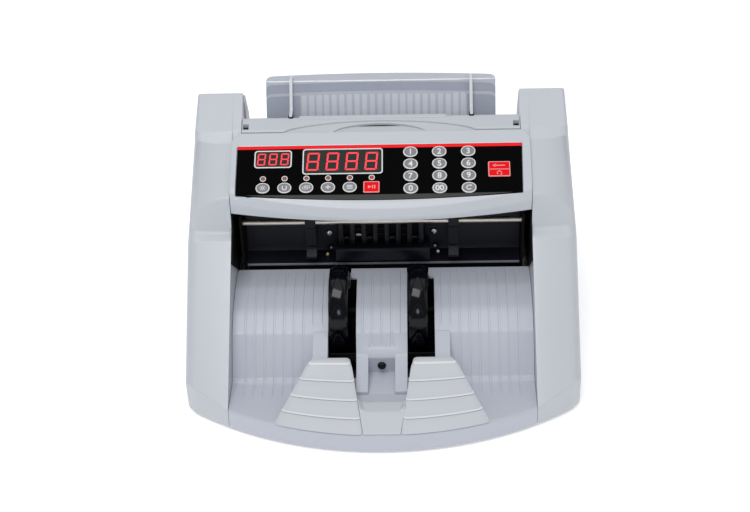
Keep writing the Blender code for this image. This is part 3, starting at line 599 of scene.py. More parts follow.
def tray():
    prof = tray_profile()
    # resample the top line finely
    fine = []
    for a, b in zip(prof[:-1], prof[1:]):
        L = math.hypot(b[0] - a[0], b[1] - a[1])
        m = max(1, int(L / 2.2))
        for i in range(m):
            fine.append((lerp(a[0], b[0], i / m), lerp(a[1], b[1], i / m)))
    fine.append(prof[-1])
    xs = set()
    for gx, _, _ in GROOVES:
        for o in (-1.05, -0.92, -0.83, -0.75, -0.67, -0.58, 0.0, 0.58, 0.67, 0.75, 0.83, 0.92, 1.05):
            xs.add(round(gx + o, 3))
    for k in range(-20, 21):
        xs.add(round(TRAY_HALF * k / 20.0, 3))
    xs = sorted(xs)
    keep = [xs[0]]
    for x in xs[1:]:
        if x - keep[-1] > 0.07:
            keep.append(x)
    keep[-1] = TRAY_HALF
    rings = []
    for x in keep:
        yf = front_y(x)
        ring = []
        for y, z in fine:
            g = groove_depth(x, y)
            ring.append((x, y, z - g))
        y_last = fine[-1][0]
        nf = 22
        for i in range(1, nf + 1):
            y = lerp(y_last, yf + 2.2, i / nf)
            ring.append((x, y, FLOOR_Z - groove_depth(x, y)))
        for a in (15, 35, 55, 75, 90):
            t = math.radians(a)
            ring.append((x, yf + 2.2 - 2.2 * math.sin(t), FLOOR_Z - 1.5 * (1 - math.cos(t))))
        ring += [(x, yf, BASE_Z + 0.5), (x, yf + 0.5, BASE_Z), (x, yf + 2.4, BASE_Z), (x, yf + 2.4, 15.2)]
        ring += [(x, -59.6, 15.2), (x, -55.4, 18.9), (x, -35.3, 44.1), (x, -29.0, 48.9), (x, -19.3, 53.3), (x, -9.6, 56.3),
                 (x, 4.0, 58.4), (x, 23.4, 59.1), (x, 24.0, 59.6)]
        rings.append(ring)
    ob = loft("tray_moulding", rings, M_TRAY, 28.0)
    adds = []
    for nm, a, b in (("t0", -19.6, -10.9), ("t1", 9.4, 18.3)):
        adds.append(prism(nm, fillet([(-37.0, 45.8, 1.0), (-48.5, 32.9, 8.0), (-76.2, 20.3, 1.2), (-77.0, 16.3, 0.3), (-48.0, 16.3, 0.3),
                                      (-38.4, 43.4, 0.3)], 4), 'X', a, b, M_TRAY))
    adds.append(prism("t2", [(-46.0, 36.0), (-49.6, 31.7), (-49.6, 16.3), (-44.0, 16.3), (-42.0, 38.0)], 'X', -11.2, 9.7, M_TRAY))
    for nm, a, b in (("p0", -52.0, -40.8), ("p1", 39.4, 50.4)):
        adds.append(prism(nm, fillet([(-33.2, 48.4, 1.0), (-57.6, 37.6, 1.5), (-58.6, 33.0, 0.5), (-52.5, 25.2, 0.5), (-42.0, 38.4, 0.5)], 4),
                          'X', a, b, M_TRAY))
    boolean(ob, adds, 'UNION')
    cuts = []
    for nm, a, b, n1 in (("s0", -40.9, -19.9, -25.0), ("s1", 18.6, 39.2, 34.9)):
        cuts.append(prism(nm, fillet([(a, -58.6, 1.0), (b, -58.6, 1.0), (b, 11.5, 1.0), (n1 + 0.4, 12.2, 1.5), (n1, 15.0, 1.0), (n1 + 0.8, 40.0, 0.2), (a - 0.8, 40.0, 0.2), (a, 16.0, 1.0)], 4),
                          'Z', 3.0, 90.0, M_TRAY))
    cuts.append(prism("pk", rrect(-10.96, 9.46, -90.4, -49.62, 0.6, 4), 'Z', FLOOR_Z + 0.04, 60.5, M_TRAY))
    boolean(ob, cuts)
    add_bevel(ob, 0.35, 2, 48.0)
    return done(ob, "base", "tray_plastic", "stacker_tray")


tray()


# =============================================================== stacker stops
def stop_inner(y):
    return 13.9 + (y + 121.5) * 0.163


def stop_outer(y):
    return 78.2 - (y + 109.3) * 0.549


STEP_AT = (0.208, 0.450, 0.706)
STEP_IN = 0.9


def stop_setback(f):
    s = 3.0 * STEP_IN * min(1.0, f / 0.75)
    for a in STEP_AT:                       # shallow groove, then the raised lower edge of the next panel
        if a - 0.030 < f < a + 0.001:
            s += 1.3 * min(1.0, (f - a + 0.030) / 0.026)
        elif a + 0.001 <= f < a + 0.036:
            s -= 0.9 * (1.0 - (f - a - 0.001) / 0.035)
    return s


def stop_ring(sg, f, inset, drop=0.0, nf=26):
    z0, z1 = FLOOR_Z + 0.3, 40.8
    z = z0 + (z1 - z0) * f
    R = 2.0                                     # rim rounding
    top = max(0.0, (f - (1 - R / 22.9)) / (R / 22.9))
    rim = R * (1 - math.sqrt(max(0.0, 1 - top * top)))
    sb = stop_setback(f) - 3.6 * f + rim
    r = r_out = 0.0
    if f > 0.86:
        q = (f - 0.86) / 0.14
        r = 5.2 * (1 - math.sqrt(max(0.0, 1 - q * q)))
    if f > 0.88:
        q = (f - 0.88) / 0.12
        r_out = 2.6 * (1 - math.sqrt(max(0.0, 1 - q * q)))
    ya0, ya1 = front_y(13.9) * (1 - f) - 64.0 * f + sb, front_y(78.3) * (1 - f) - 64.0 * f + sb
    if sg > 0:                                  # this stop leans a little further in at the top
        r -= 1.1 * f
    xi, xo = stop_inner(ya0) + r + inset, stop_outer(ya1) - r_out - inset
    ri, ro = stop_inner(-60.5) + r + inset, stop_outer(-60.5) - r_out - inset

    def fy(t):
        return front_y(78.3 + (13.9 - 78.3) * t) * (1 - f) - 64.0 * f + sb + inset * 1.6
    cr = 1.5 + 0.25 * max(0.0, r)
    yr = -60.5 - inset - 0.45 * rim
    pts = []
    for i in range(nf + 1):
        t = i / nf
        x = xo + (xi - xo) * t
        e = min(x - xi, xo - x)
        y = fy(t)
        if e < cr:
            y += cr * (1 - math.sqrt(max(0.0, 1 - ((cr - e) / cr) ** 2))) * 0.9
        y = min(y, yr - 0.25)
        pts.append((sg * x, y, z - inset * 0.9 - drop))
    pts += [(sg * ri, yr, z - inset * 0.9 - drop), (sg * ro, yr, z - inset * 0.9 - drop)]
    return pts


def stacker_stop(side, sg):
    fr = [0.0, 0.06, 0.12]
    for a in STEP_AT:
        fr += [a - 0.031, a - 0.020, a - 0.008, a - 0.001, a + 0.004, a + 0.012, a + 0.022, a + 0.037]
    fr += [0.31, 0.58, 0.80, 0.84, 0.86, 0.88, 0.90, 0.915]
    for a in (10, 20, 30, 40, 50, 60, 70, 78, 84, 88, 90):
        fr.append(1 - 2.0 / 22.9 * (1 - math.sin(math.radians(a))))
    fr = sorted(set(round(v, 4) for v in fr))
    # rows that get the paler material: painted highlight along the top rim and on the raised lower edge of each step
    lit = {j for j, v in enumerate(fr) if 0.941 < v < 0.958 or any(a - 0.002 < v < a + 0.021 for a in STEP_AT)}
    ob = loft(side + "_stop_shell", [stop_ring(sg, v, 0.0) for v in fr], [M_STOP, M_STOP_PAINTED_HIGHLIGHT], 30.0, None, lambda j, i: 1 if j in lit and i < 26 else 0)
    core = loft("core", [stop_ring(sg, v, 2.2, 6.0 if v == 0 else 0.0, 10) for v in (0.0, 0.3, 0.6, 0.8)], M_STOP, None)
    boolean(ob, [core])
    return done(ob, "base", "stop_plastic", side + "_stacker_stop")


for _side, _sg in (("left", -1.0), ("right", 1.0)):
    stacker_stop(_side, _sg)


# =============================================================== centre block and pocket sensor
def block_ring(y, pull=0.0):
    z0 = FLOOR_Z + 0.3
    if y < -103.9:
        top, lip = 18.6 + (y + 121.7) * 0.32, 0.0
    else:
        top, lip = 24.3, max(0.0, min(1.0, (y + 103.3) / 2.0)) * 3.0
        if y < -103.3:
            top = 24.3 - (1 - math.sin(math.acos(max(0.0, min(1.0, (-103.3 - y) / 0.6))))) * 0.6
    w = stop_inner(y) - 0.5 - pull
    return [(-w, y, z0), (w, y, z0), (w, y, top + lip - pull), (w - 0.5, y, top + lip - 0.1 - pull), (w - 1.2, y, top + 0.85 * lip - pull),
            (w - 2.4, y, top + 0.32 * lip - pull), (w - 3.8, y, top + 0.04 * lip - pull), (w - 5.0, y, top - pull), (0.0, y, top - pull),
            (-w + 5.0, y, top - pull), (-w + 3.8, y, top + 0.04 * lip - pull), (-w + 2.4, y, top + 0.32 * lip - pull),
            (-w + 1.2, y, top + 0.85 * lip - pull), (-w + 0.5, y, top + lip - 0.1 - pull), (-w, y, top + lip - pull)]


_b = loft("centre_block", [block_ring(y, p) for y, p in ((-121.4, 0.25), (-121.1, 0.0), (-118.0, 0.0), (-110.0, 0.0), (-104.4, 0.0), (-103.95, 0.0),
                                                        (-103.7, 0.0), (-103.4, 0.0), (-102.8, 0.0), (-102.2, 0.0), (-101.6, 0.0), (-101.0, 0.0),
                                                        (-97.0, 0.0), (-93.0, 0.0), (-92.6, 0.15), (-92.3, 0.5))], M_STOP, 30.0)
add_bevel(_b, 0.35, 2, 45.0)
done(_b, "base", "stop_plastic", "stacker_centre_block")

_s1 = lathe("sensor_dome", [(-49.9, 3.2), (-50.6, 3.15), (-51.2, 2.95), (-51.8, 2.5), (-52.2, 1.9), (-52.45, 1.2), (-52.5, 0.3)], 'Y', (-0.9, 24.2),
            M_BLACK, 40)
done(_s1, "base", "black_plastic", "stacker_sensor")


# =============================================================== control panel housing
def nose_y(x):
    return 1.4 + (455.0 - math.sqrt(455.0 ** 2 - x * x)) * 0.93


def plane_z(y, off=0.0):
    return PANEL_Z + (y - PANEL_Y) * math.tan(TILT) + off / math.cos(TILT)


HOUSE_HALF = 113.15


def house_ring(x, ins=0.0):
    ny = nose_y(x) + ins
    rear = 63.0
    zt = plane_z(ny + 6.2)
    cs = [(rear, plane_z(rear, 0.4) - ins, 0.6), (ny + 6.4, plane_z(ny + 6.4, 0.4) - ins, 2.6), (ny + 2.4, zt - 2.7 - ins, 3.2),
          (ny, zt - 9.6, 7.0), (ny + 0.4, 119.6, 0.7), (ny + 4.0, 119.5, 0.3), (ny + 4.2, 122.5, 0.3), (ny + 4.2, zt - 8.4, 1.0),
          (ny + 6.6, zt - 6.0, 1.0), (ny + 11.0, plane_z(ny + 11.0, -4.2), 1.0), (rear - 2.0, plane_z(rear - 2.0, -4.2), 0.3),
          (rear - 2.0, plane_z(rear, -12.0), 0.3), (rear, plane_z(rear, -12.0), 0.3)]
    return [(x, p[0], p[1]) for p in fillet(cs, 6)]


_hx = [(-HOUSE_HALF + 2 * HOUSE_HALF * i / 44, 0.0) for i in range(1, 44)]
_hx = [(-HOUSE_HALF, 0.35), (-HOUSE_HALF + 0.35, 0.0)] + _hx + [(HOUSE_HALF - 0.35, 0.0), (HOUSE_HALF, 0.35)]
house = loft("panel_housing", [house_ring(x, i) for x, i in _hx], M_BODY, 30.0)


def film_edge(x):
    return -0.2 + 5.4 * (x / 106.5) ** 2


def film_outline(left, right, top, extra, r):
    pts = []
    n = 48
    for i in range(n + 1):
        x = -left + (left + right) * i / n
        pts.append((x, film_edge(x) - extra))
    c = [(right, film_edge(right), 0.0), (right + 0.8, top, r), (-left, top, r), (-left, film_edge(left), 0.0)]
    f = fillet(c, 6)
    pts += [p for p in f if p[1] > film_edge(left) + 4.0]
    return pts


_cuts = [prism("rec", film_outline(109.0, 106.4, 48.3, 0.5, 2.4), 'Z', -1.5, 6.0, M_BODY, xf=PXF),
         prism("w1", rrect(-100.5, 5.0, 3.6, 46.2, 1.0, 2), 'Z', -8.0, 3.0, M_BODY, xf=PXF),
         prism("w2", rrect(14.5, 74.5, 2.6, 47.0, 1.0, 2), 'Z', -8.0, 3.0, M_BODY, xf=PXF),
         prism("w3", rrect(78.4, 99.5, 15.8, 34.0, 1.0, 2), 'Z', -8.0, 3.0, M_BODY, xf=PXF)]
for _k in (-1.0, 1.0):
    _cuts.append(prism("cn", [(_k * 120.0, 54.0), (_k * 113.2, 56.5), (_k * 106.0, 64.5), (_k * 106.0, 80.0), (_k * 120.0, 80.0)],
                       'Z', 120.0, 175.0, M_BODY))
boolean(house, _cuts)
add_bevel(house, 0.35, 2, 48.0)
done(house, "base", "body_plastic", "control_panel_housing")

# ---------------------------------------------------------------- keys
KEY_COLS = (22.6, 44.3, 66.1)
KEY_ROWS = (41.0, 30.5, 20.0, 9.3)
FUNC_X = (-88.2, -71.9, -55.5, -39.2, -22.9)
FUNC_V = 11.1
LAMP_X = (-88.2, -71.9, -55.5, -39.2, -22.9, -6.5)
LAMP_V = 19.1


def place(ob, xf):
    for v in ob.data.vertices:
        v.co = (xf @ (v.co / MM)) * MM
    return ob


def text(name, s, size, depth, mat, x, v, n, squeeze=1.0, weight=0.0, slant=0.0):
    cu = bpy.data.curves.new(name, 'FONT')
    cu.body = s
    cu.size = size * MM
    cu.extrude = depth * 0.5 * MM
    cu.offset = weight * MM
    cu.shear = slant
    cu.align_x = 'CENTER'
    cu.align_y = 'CENTER'
    cu.resolution_u = 6
    tmp = bpy.data.objects.new(name + "_c", cu)
    ROOT.objects.link(tmp)
    bpy.context.view_layer.update()
    me = bpy.data.meshes.new_from_object(tmp.evaluated_get(bpy.context.evaluated_depsgraph_get()))
    bpy.data.objects.remove(tmp)
    bpy.data.curves.remove(cu)
    xs = [q.co.x for q in me.vertices]
    ys = [q.co.y for q in me.vertices]
    mx, my = (min(xs) + max(xs)) / 2, (min(ys) + max(ys)) / 2
    for q in me.vertices:
        q.co.x = (q.co.x - mx) * squeeze + x * MM
        q.co.y = q.co.y - my + v * MM
        q.co.z = q.co.z + (n + depth * 0.5) * MM
    me.materials.clear()
    me.materials.append(mat)
    ob = bpy.data.objects.new(name, me)
    ROOT.objects.link(ob)
    bm = bmesh.new()
    bm.from_mesh(me)
    bmesh.ops.remove_doubles(bm, verts=bm.verts, dist=0.000002)
    bm.to_mesh(me)
    bm.free()
    place(ob, PXF)
    return ob


def flat(name, pts, n0, n1, mat):
    return prism(name, pts, 'Z', n0, n1, mat, xf=PXF, smooth=30.0)


def bar(name, x0, v0, x1, v1, w, n0, n1, mat):
    d = Vector((x1 - x0, v1 - v0))
    d.normalize()
    o = Vector((-d.y, d.x)) * w / 2
    a, b = Vector((x0, v0)), Vector((x1, v1))
    return flat(name, [tuple(a - o), tuple(b - o), tuple(b + o), tuple(a + o)], n0, n1, mat)


def arc_band(name, cx, cv, r, w, a0, a1, n0, n1, mat, seg=22):
    out, inn = [], []
    for k in range(seg + 1):
        a = math.radians(a0 + (a1 - a0) * k / seg)
        out.append((cx + (r + w / 2) * math.cos(a), cv + (r + w / 2) * math.sin(a)))
        inn.append((cx + (r - w / 2) * math.cos(a), cv + (r - w / 2) * math.sin(a)))
    return flat(name, out + list(reversed(inn)), n0, n1, mat)


def tri(name, cx, cv, s, ang, n0, n1, mat):
    return flat(name, [(cx + s * math.cos(math.radians(ang + k)), cv + s * math.sin(math.radians(ang + k))) for k in (0, 125, 235)], n0, n1, mat)


def key_cap(name, outline_fn, fill, edge, line):
    """outline_fn(inset) gives the outline; a printed line runs round the crowned cap."""
    prof = [(0.0, -3.4), (0.0, -0.1), (0.05, 0.14), (0.16, 0.26), (0.28, 0.31), (0.28 + line, 0.33), (0.34 + line, 0.29), (1.6, 0.33), (2.6, 0.35)]
    rings = []
    for ins, n in prof:
        rings.append([tuple(PXF @ Vector((p[0], p[1], n))) for p in outline_fn(ins)])

    def mf(j, i):
        return 1 if j in (1, 2, 3, 4) else 0
    return loft(name, rings, [fill, edge], 32.0, None, mf)


GLYPHS = {}
_names = [["key_1", "key_2", "key_3"], ["key_4", "key_5", "key_6"], ["key_7", "key_8", "key_9"], ["key_0", "key_00", "key_clear"]]
for _r in range(4):
    for _c in range(3):
        nm = _names[_r][_c]
        x, v = KEY_COLS[_c], KEY_ROWS[_r]
        parts = [key_cap(nm + "_cap", lambda ins, x=x, v=v: oval(x, v, 11.0 - 2 * ins, 9.2 - 2 * ins), M_KEY, M_INK, 0.54)]
        if nm == "key_clear":
            parts.append(arc_band(nm + "_arc", x, v, 1.75, 0.75, 55, 325, 0.3, 0.46, M_INK))
            parts.append(tri(nm + "_head", x + 1.35, v + 1.55, 1.2, 335, 0.3, 0.46, M_INK))
        else:
            parts.append(text(nm + "_digit", nm[4:], 6.6, 0.16, M_INK, x, v, 0.3, 1.0, 0.16))
        done(combine(nm + "_look", parts), nm + "_body", "key_grey", nm)

for _i, x in enumerate(FUNC_X):
    nm = "function_key_%d" % (_i + 1)
    v = FUNC_V
    parts = [key_cap(nm + "_cap", lambda ins, x=x, v=v: oval(x, v, 10.6 - 2 * ins, 9.0 - 2 * ins), M_KEY, M_INK, 0.50)]
    a, b = 0.3, 0.43
    if _i == 0:        # lamp with rays
        parts.append(arc_band(nm + "_a", x, v, 0.85, 0.5, 0, 359.9, a, b, M_INK, 20))
        for k in range(8):
            q = math.radians(45 * k)
            parts.append(bar(nm + "_r%d" % k, x + 1.45 * math.cos(q), v + 1.35 * math.sin(q), x + 2.3 * math.cos(q), v + 2.1 * math.sin(q), 0.42, a, b, M_INK))
    elif _i == 1:      # horseshoe magnet
        parts.append(arc_band(nm + "_a", x, v - 0.3, 1.5, 0.8, 180, 360, a, b, M_INK))
        parts.append(bar(nm + "_b", x - 1.5, v - 0.3, x - 1.5, v + 1.5, 0.8, a, b, M_INK))
        parts.append(bar(nm + "_c", x + 1.5, v - 0.3, x + 1.5, v + 1.5, 0.8, a, b, M_INK))
    elif _i == 2:      # two overlapping notes
        for k, (ox, ov) in enumerate(((-0.7, -0.5), (0.7, 0.5))):
            parts.append(bar(nm + "_t%d" % k, x + ox - 1.9, v + ov + 0.9, x + ox + 1.9, v + ov + 0.9, 0.38, a, b, M_INK))
            parts.append(bar(nm + "_u%d" % k, x + ox - 1.9, v + ov - 0.9, x + ox + 1.9, v + ov - 0.9, 0.38, a, b, M_INK))
            parts.append(bar(nm + "_v%d" % k, x + ox - 1.9, v + ov - 1.05, x + ox - 1.9, v + ov + 1.05, 0.38, a, b, M_INK))
            parts.append(bar(nm + "_w%d" % k, x + ox + 1.9, v + ov - 1.05, x + ox + 1.9, v + ov + 1.05, 0.38, a, b, M_INK))
    elif _i == 3:      # plus
        parts.append(bar(nm + "_a", x - 1.9, v, x + 1.9, v, 0.75, a, b, M_INK))
        parts.append(bar(nm + "_b", x, v - 1.7, x, v + 1.7, 0.75, a, b, M_INK))
    else:              # stack of notes
        for k in range(3):
            parts.append(bar(nm + "_s%d" % k, x - 2.2, v - 1.25 + 1.25 * k, x + 2.2, v - 1.25 + 1.25 * k, 0.6, a, b, M_INK))
    done(combine(nm + "_look", parts), nm + "_body", "key_grey", nm)


def red_key(nm, x, v, w, h):
    return key_cap(nm + "_cap", lambda ins: rrect(x - w / 2 + ins, x + w / 2 - ins, v - h / 2 + ins, v + h / 2 - ins, max(0.9 - ins * 0.3, 0.3), 5),
                   M_RED, M_PINK, 0.5)


x, v = -6.7, 10.9
parts = [red_key("function_key_red", x, v, 12.2, 9.8)]
parts.append(tri("fkr_t", x - 1.6, v, 1.7, 0, 0.3, 0.43, M_PINK))
parts.append(bar("fkr_b", x + 0.9, v - 1.5, x + 0.9, v + 1.5, 0.8, 0.3, 0.43, M_PINK))
parts.append(bar("fkr_c", x + 2.5, v - 1.5, x + 2.5, v + 1.5, 0.8, 0.3, 0.43, M_PINK))
done(combine("function_key_red_look", parts), "function_key_red_body", "key_red", "function_key_red")

x, v = 89.0, 24.9
parts = [red_key("reset_key", x, v, 16.6, 13.2)]
parts.append(bar("rk_line", x - 7.4, v - 0.35, x + 7.4, v - 0.35, 0.6, 0.3, 0.43, M_PINK))
parts.append(tri("rk_t", x - 3.4, v + 2.9, 1.7, 180, 0.3, 0.43, M_PINK))
parts.append(bar("rk_b", x - 3.2, v + 2.9, x + 4.4, v + 2.9, 0.8, 0.3, 0.43, M_PINK))
parts.append(arc_band("rk_a", x, v - 3.5, 1.55, 0.65, -50, 235, 0.3, 0.43, M_PINK))
parts.append(tri("rk_h", x + 1.4, v - 4.8, 1.0, 250, 0.3, 0.43, M_PINK))
done(combine("reset_key_look", parts), "reset_key_body", "key_red", "reset_key")

# ---------------------------------------------------------------- overlay film with its printed bands
film = prism("film_base", film_outline(108.5, 105.9, 47.8, 0.0, 2.2), 'Z', -1.2, 0.0, M_FILM, xf=PXF)
_h = []
for _r in range(4):
    for _c in range(3):
        _h.append(oval(KEY_COLS[_c], KEY_ROWS[_r], 11.5, 9.7, 28))
for x in FUNC_X:
    _h.append(oval(x, FUNC_V, 11.1, 9.5, 28))
_h.append(rrect(-13.1, -0.3, 5.7, 16.1, 1.0, 3))
_h.append(rrect(80.4, 97.6, 18.0, 31.8, 1.0, 3))
DISP = (("led_display_3_digit", -95.2, -67.0, 28.5, 43.6), ("led_display_4_digit", -58.7, 1.7, 22.4, 44.6))
for _, x0, x1, v0, v1 in DISP:
    _h.append(rrect(x0 - 0.2, x1 + 0.2, v0 - 0.2, v1 + 0.2, 2.2, 5))
for x in LAMP_X:
    _h.append([(x + 1.75 * math.cos(2 * math.pi * k / 24), LAMP_V + 1.75 * math.sin(2 * math.pi * k / 24)) for k in range(24)])
bm = bmesh.new()
for pts in _h:
    f = bm.faces.new([bm.verts.new((p[0], p[1], -3.0)) for p in pts])
    r = bmesh.ops.extrude_face_region(bm, geom=[f])
    bmesh.ops.translate(bm, vec=(0, 0, 6.0), verts=[g for g in r["geom"] if isinstance(g, bmesh.types.BMVert)])
boolean(film, [to_object("holes", bm, M_FILM, None, PXF)])


def stripe(v_lo, v_hi, half, r_lo, r_hi):
    c = [(-half, v_lo, r_lo), (half, v_lo, r_lo), (half, v_hi, r_hi), (-half, v_hi, r_hi)]
    return fillet(c, 6)


def band_under(x, t):
    """lens-shaped grey band between the black print and the bowed lower edge."""
    return film_edge(x) + t


_low, _up = [], []
for i in range(61):
    x = -101.0 + 200.0 * i / 60
    s = math.sin(math.pi * i / 60) ** 0.75
    _low.append((x, film_edge(x) + 0.25))
    _up.append((x, film_edge(x) + 0.25 + 4.4 * s))
parts = [film,
         flat("stripe_red", [(p[0] + (-2.0 if p[0] < 0 else 0.2), p[1]) for p in stripe(44.9, 47.75, 106.4, 0.2, 2.0)], -0.1, 0.05, M_STRIPE),
         flat("band_grey", _low + list(reversed(_up)), -0.1, 0.05, M_LENS)]
for x in LAMP_X:
    parts.append(arc_band("lamp_ring_%d" % int(x), x, LAMP_V, 1.98, 0.62, 0, 359.9, -0.1, 0.12, M_INK, 40))
for _, x0, x1, v0, v1 in DISP:
    o = rrect(x0 - 0.05, x1 + 0.05, v0 - 0.05, v1 + 0.05, 2.4, 8)
    i_ = rrect(x0 + 0.85, x1 - 0.85, v0 + 0.85, v1 - 0.85, 1.8, 8)
    bm = bmesh.new()
    lv = {}
    for key, pts, z in (("ob", o, -0.3), ("ot", o, 0.22), ("it", i_, 0.22), ("ib", i_, -0.3)):
        lv[key] = [bm.verts.new((p[0], p[1], z)) for p in pts]
    seq = ["ob", "ot", "it", "ib", "ob"]
    for q0, q1 in zip(seq[:-1], seq[1:]):
        for k in range(len(o)):
            m = (k + 1) % len(o)
            bm.faces.new((lv[q0][k], lv[q0][m], lv[q1][m], lv[q1][k]))
    parts.append(to_object("bezel_%d" % int(x0), bm, M_INK, 35.0, PXF))
done(combine("panel_film", parts), "base", "overlay_film", "panel_overlay")

# thin pale edge of the recess along the top of the film
_e = flat("film_rim", fillet([(-108.6, 47.7, 0.2), (106.6, 47.7, 0.2), (106.9, 48.3, 0.5), (-108.9, 48.3, 0.5)], 4), -1.4, 0.30, M_EDGE)
done(_e, "base", "body_plastic")


# ---------------------------------------------------------------- lit displays
def segment_digit(cx, cv, w, h, t, slant, n0, n1, tag):
    g = 0.16
    hw, hh = w / 2, h / 2
    out = []

    def sk(p):
        return (cx + p[0] + (p[1]) * slant, cv + p[1])

    def hseg(y, top):
        a = t / 2
        if top == 0:
            return [(-hw + t * 0.55, y), (-hw + t * 1.05, y - a), (hw - t * 1.05, y - a), (hw - t * 0.55, y), (hw - t * 1.05, y + a), (-hw + t * 1.05, y + a)]
        if top > 0:
            return [(-hw + 0.35 * t, y + a), (-hw + t * 1.25, y - a), (hw - t * 1.25, y - a), (hw - 0.35 * t, y + a)]
        return [(-hw + 0.35 * t, y - a), (hw - 0.35 * t, y - a), (hw - t * 1.25, y + a), (-hw + t * 1.25, y + a)]

    def vseg(sx, up):
        x0, x1 = (hw * sx), (hw - t) * sx
        y0, y1 = (g, hh - 0.3 * t) if up else (-hh + 0.3 * t, -g)
        if up:
            return [(x0, y0 + t * 0.35), (x1 + 0.4 * t * sx, y0), (x1, y0 + 0.55 * t), (x1, y1 - 0.95 * t), (x0, y1)]
        return [(x0, y0), (x1, y0 + 0.95 * t), (x1, y1 - 0.55 * t), (x1 + 0.4 * t * sx, y1), (x0, y1 - t * 0.35)]
    shapes = [hseg(hh - t / 2, 1), hseg(0.0, 0), hseg(-hh + t / 2, -1), vseg(-1, True), vseg(1, True), vseg(-1, False), vseg(1, False)]
    for k, s in enumerate(shapes):
        out.append(flat("seg_%s_%d" % (tag, k), [sk(p) for p in s], n0, n1, M_SEG))
    return out


for nm, x0, x1, v0, v1 in DISP:
    body = prism(nm + "_case", rrect(x0, x1, v0, v1, 2.4, 8), 'Z', -4.2, 0.02, M_WINDOW, xf=PXF)
    parts = [body]
    cv = (v0 + v1) / 2
    if x1 - x0 > 40:
        w, h, t, xs = 9.3, 15.6, 1.35, (-50.9, -36.2, -21.6, -6.9)
    else:
        w, h, t, xs = 6.2, 10.3, 1.02, (-89.9, -81.1, -72.3)
    for i, x in enumerate(xs):
        parts += segment_digit(x, cv, w, h, t, 0.085, -0.01, 0.1, "%s%d" % (nm[12], i))
        dx = x + w / 2 + 1.0 - h / 2 * 0.085
        r = 0.5 * t
        parts.append(flat("dot_%s%d" % (nm[12], i), [(dx + r * math.cos(2 * math.pi * k / 16), cv - h / 2 + t / 2 + r * math.sin(2 * math.pi * k / 16))
                                                    for k in range(16)], -0.01, 0.08, M_DOT))
    done(combine(nm + "_look", parts), "base", "display_window", nm)

parts = [box("lamp_carrier", -92.0, -2.6, LAMP_V - 2.4, LAMP_V + 2.4, -3.8, -1.9, M_BLACK, 0.4, 2, PXF)]
bake(parts[0])
for i, x in enumerate(LAMP_X):
    prof = [(-2.4, 1.5), (-0.15, 1.5), (0.05, 1.42), (0.2, 1.15), (0.3, 0.7), (0.34, 0.2)]
    rings = [[tuple(PXF @ Vector((x + r * math.cos(2 * math.pi * k / 28), LAMP_V + r * math.sin(2 * math.pi * k / 28), z))) for k in range(28)] for z, r in prof]
    parts.append(loft("lamp_%d" % i, rings, M_LAMPR if i == 5 else M_LAMP, 40.0))
done(combine("indicator_lamps", parts), "base", "lamp", "indicator_light_strip")

# =============================================================== inner works seen through the opening
# black guide plate, dished between its ribs so that it picks up soft vertical sheens
bm = bmesh.new()
_bp = [(28.0, 63.2), (29.2, 62.5), (41.4, 66.1), (42.3, 67.0)]
rows = []
_zs = [67.0 + 54.0 * k / 12 for k in range(13)]
_xs = [-106.0 + 212.0 * k / 106 for k in range(107)]
for x in _xs:
    ww = 0.55 * math.exp(-((abs(x) - 86) / 9.0) ** 2) + 0.45 * math.exp(-((abs(x) - 66) / 4.5) ** 2)
    ring = [(x, 28.0, 63.5), (x, 28.5, 62.9), (x, 29.4, 62.5), (x, 41.6, 66.0), (x, 42.6, 67.0), (x, 42.6, 121.0), (x, 41.0, 121.0)]
    for k in range(12):
        z = 119.0 - 50.0 * k / 11
        ring.append((x, 41.0 + ww * math.sin(math.pi * (k + 0.5) / 12), z))
    ring += [(x, 40.8, 68.2), (x, 39.6, 67.7), (x, 29.0, 64.6), (x, 28.3, 64.3)]
    rows.append(ring)
baffle = to_object("guide_plate", rings_mesh(rows), M_INNER, 40.0)
_c = [box("w", cx - 6.6, cx + 6.6, 36.0, 46.0, 80.0, 110.0, M_INNER) for cx in (-27.6, -9.8, 7.9, 25.4)]
boolean(baffle, _c)
done(baffle, "base", "black_metal", "baffle_plate")

_r1 = lathe("arm_rod_look", [(-108.6, 1.9), (-108.1, 2.3), (-60.9, 2.3), (-60.8, 2.1), (-60.0, 2.1), (-59.9, 2.3), (59.9, 2.3), (60.0, 2.1), (60.8, 2.1), (60.9, 2.3), (108.1, 2.3),
                             (108.6, 1.9)], 'X', (ROD_Y, ROD_Z), M_ROD, 40)
done(_r1, "base", "steel", "arm_rod")

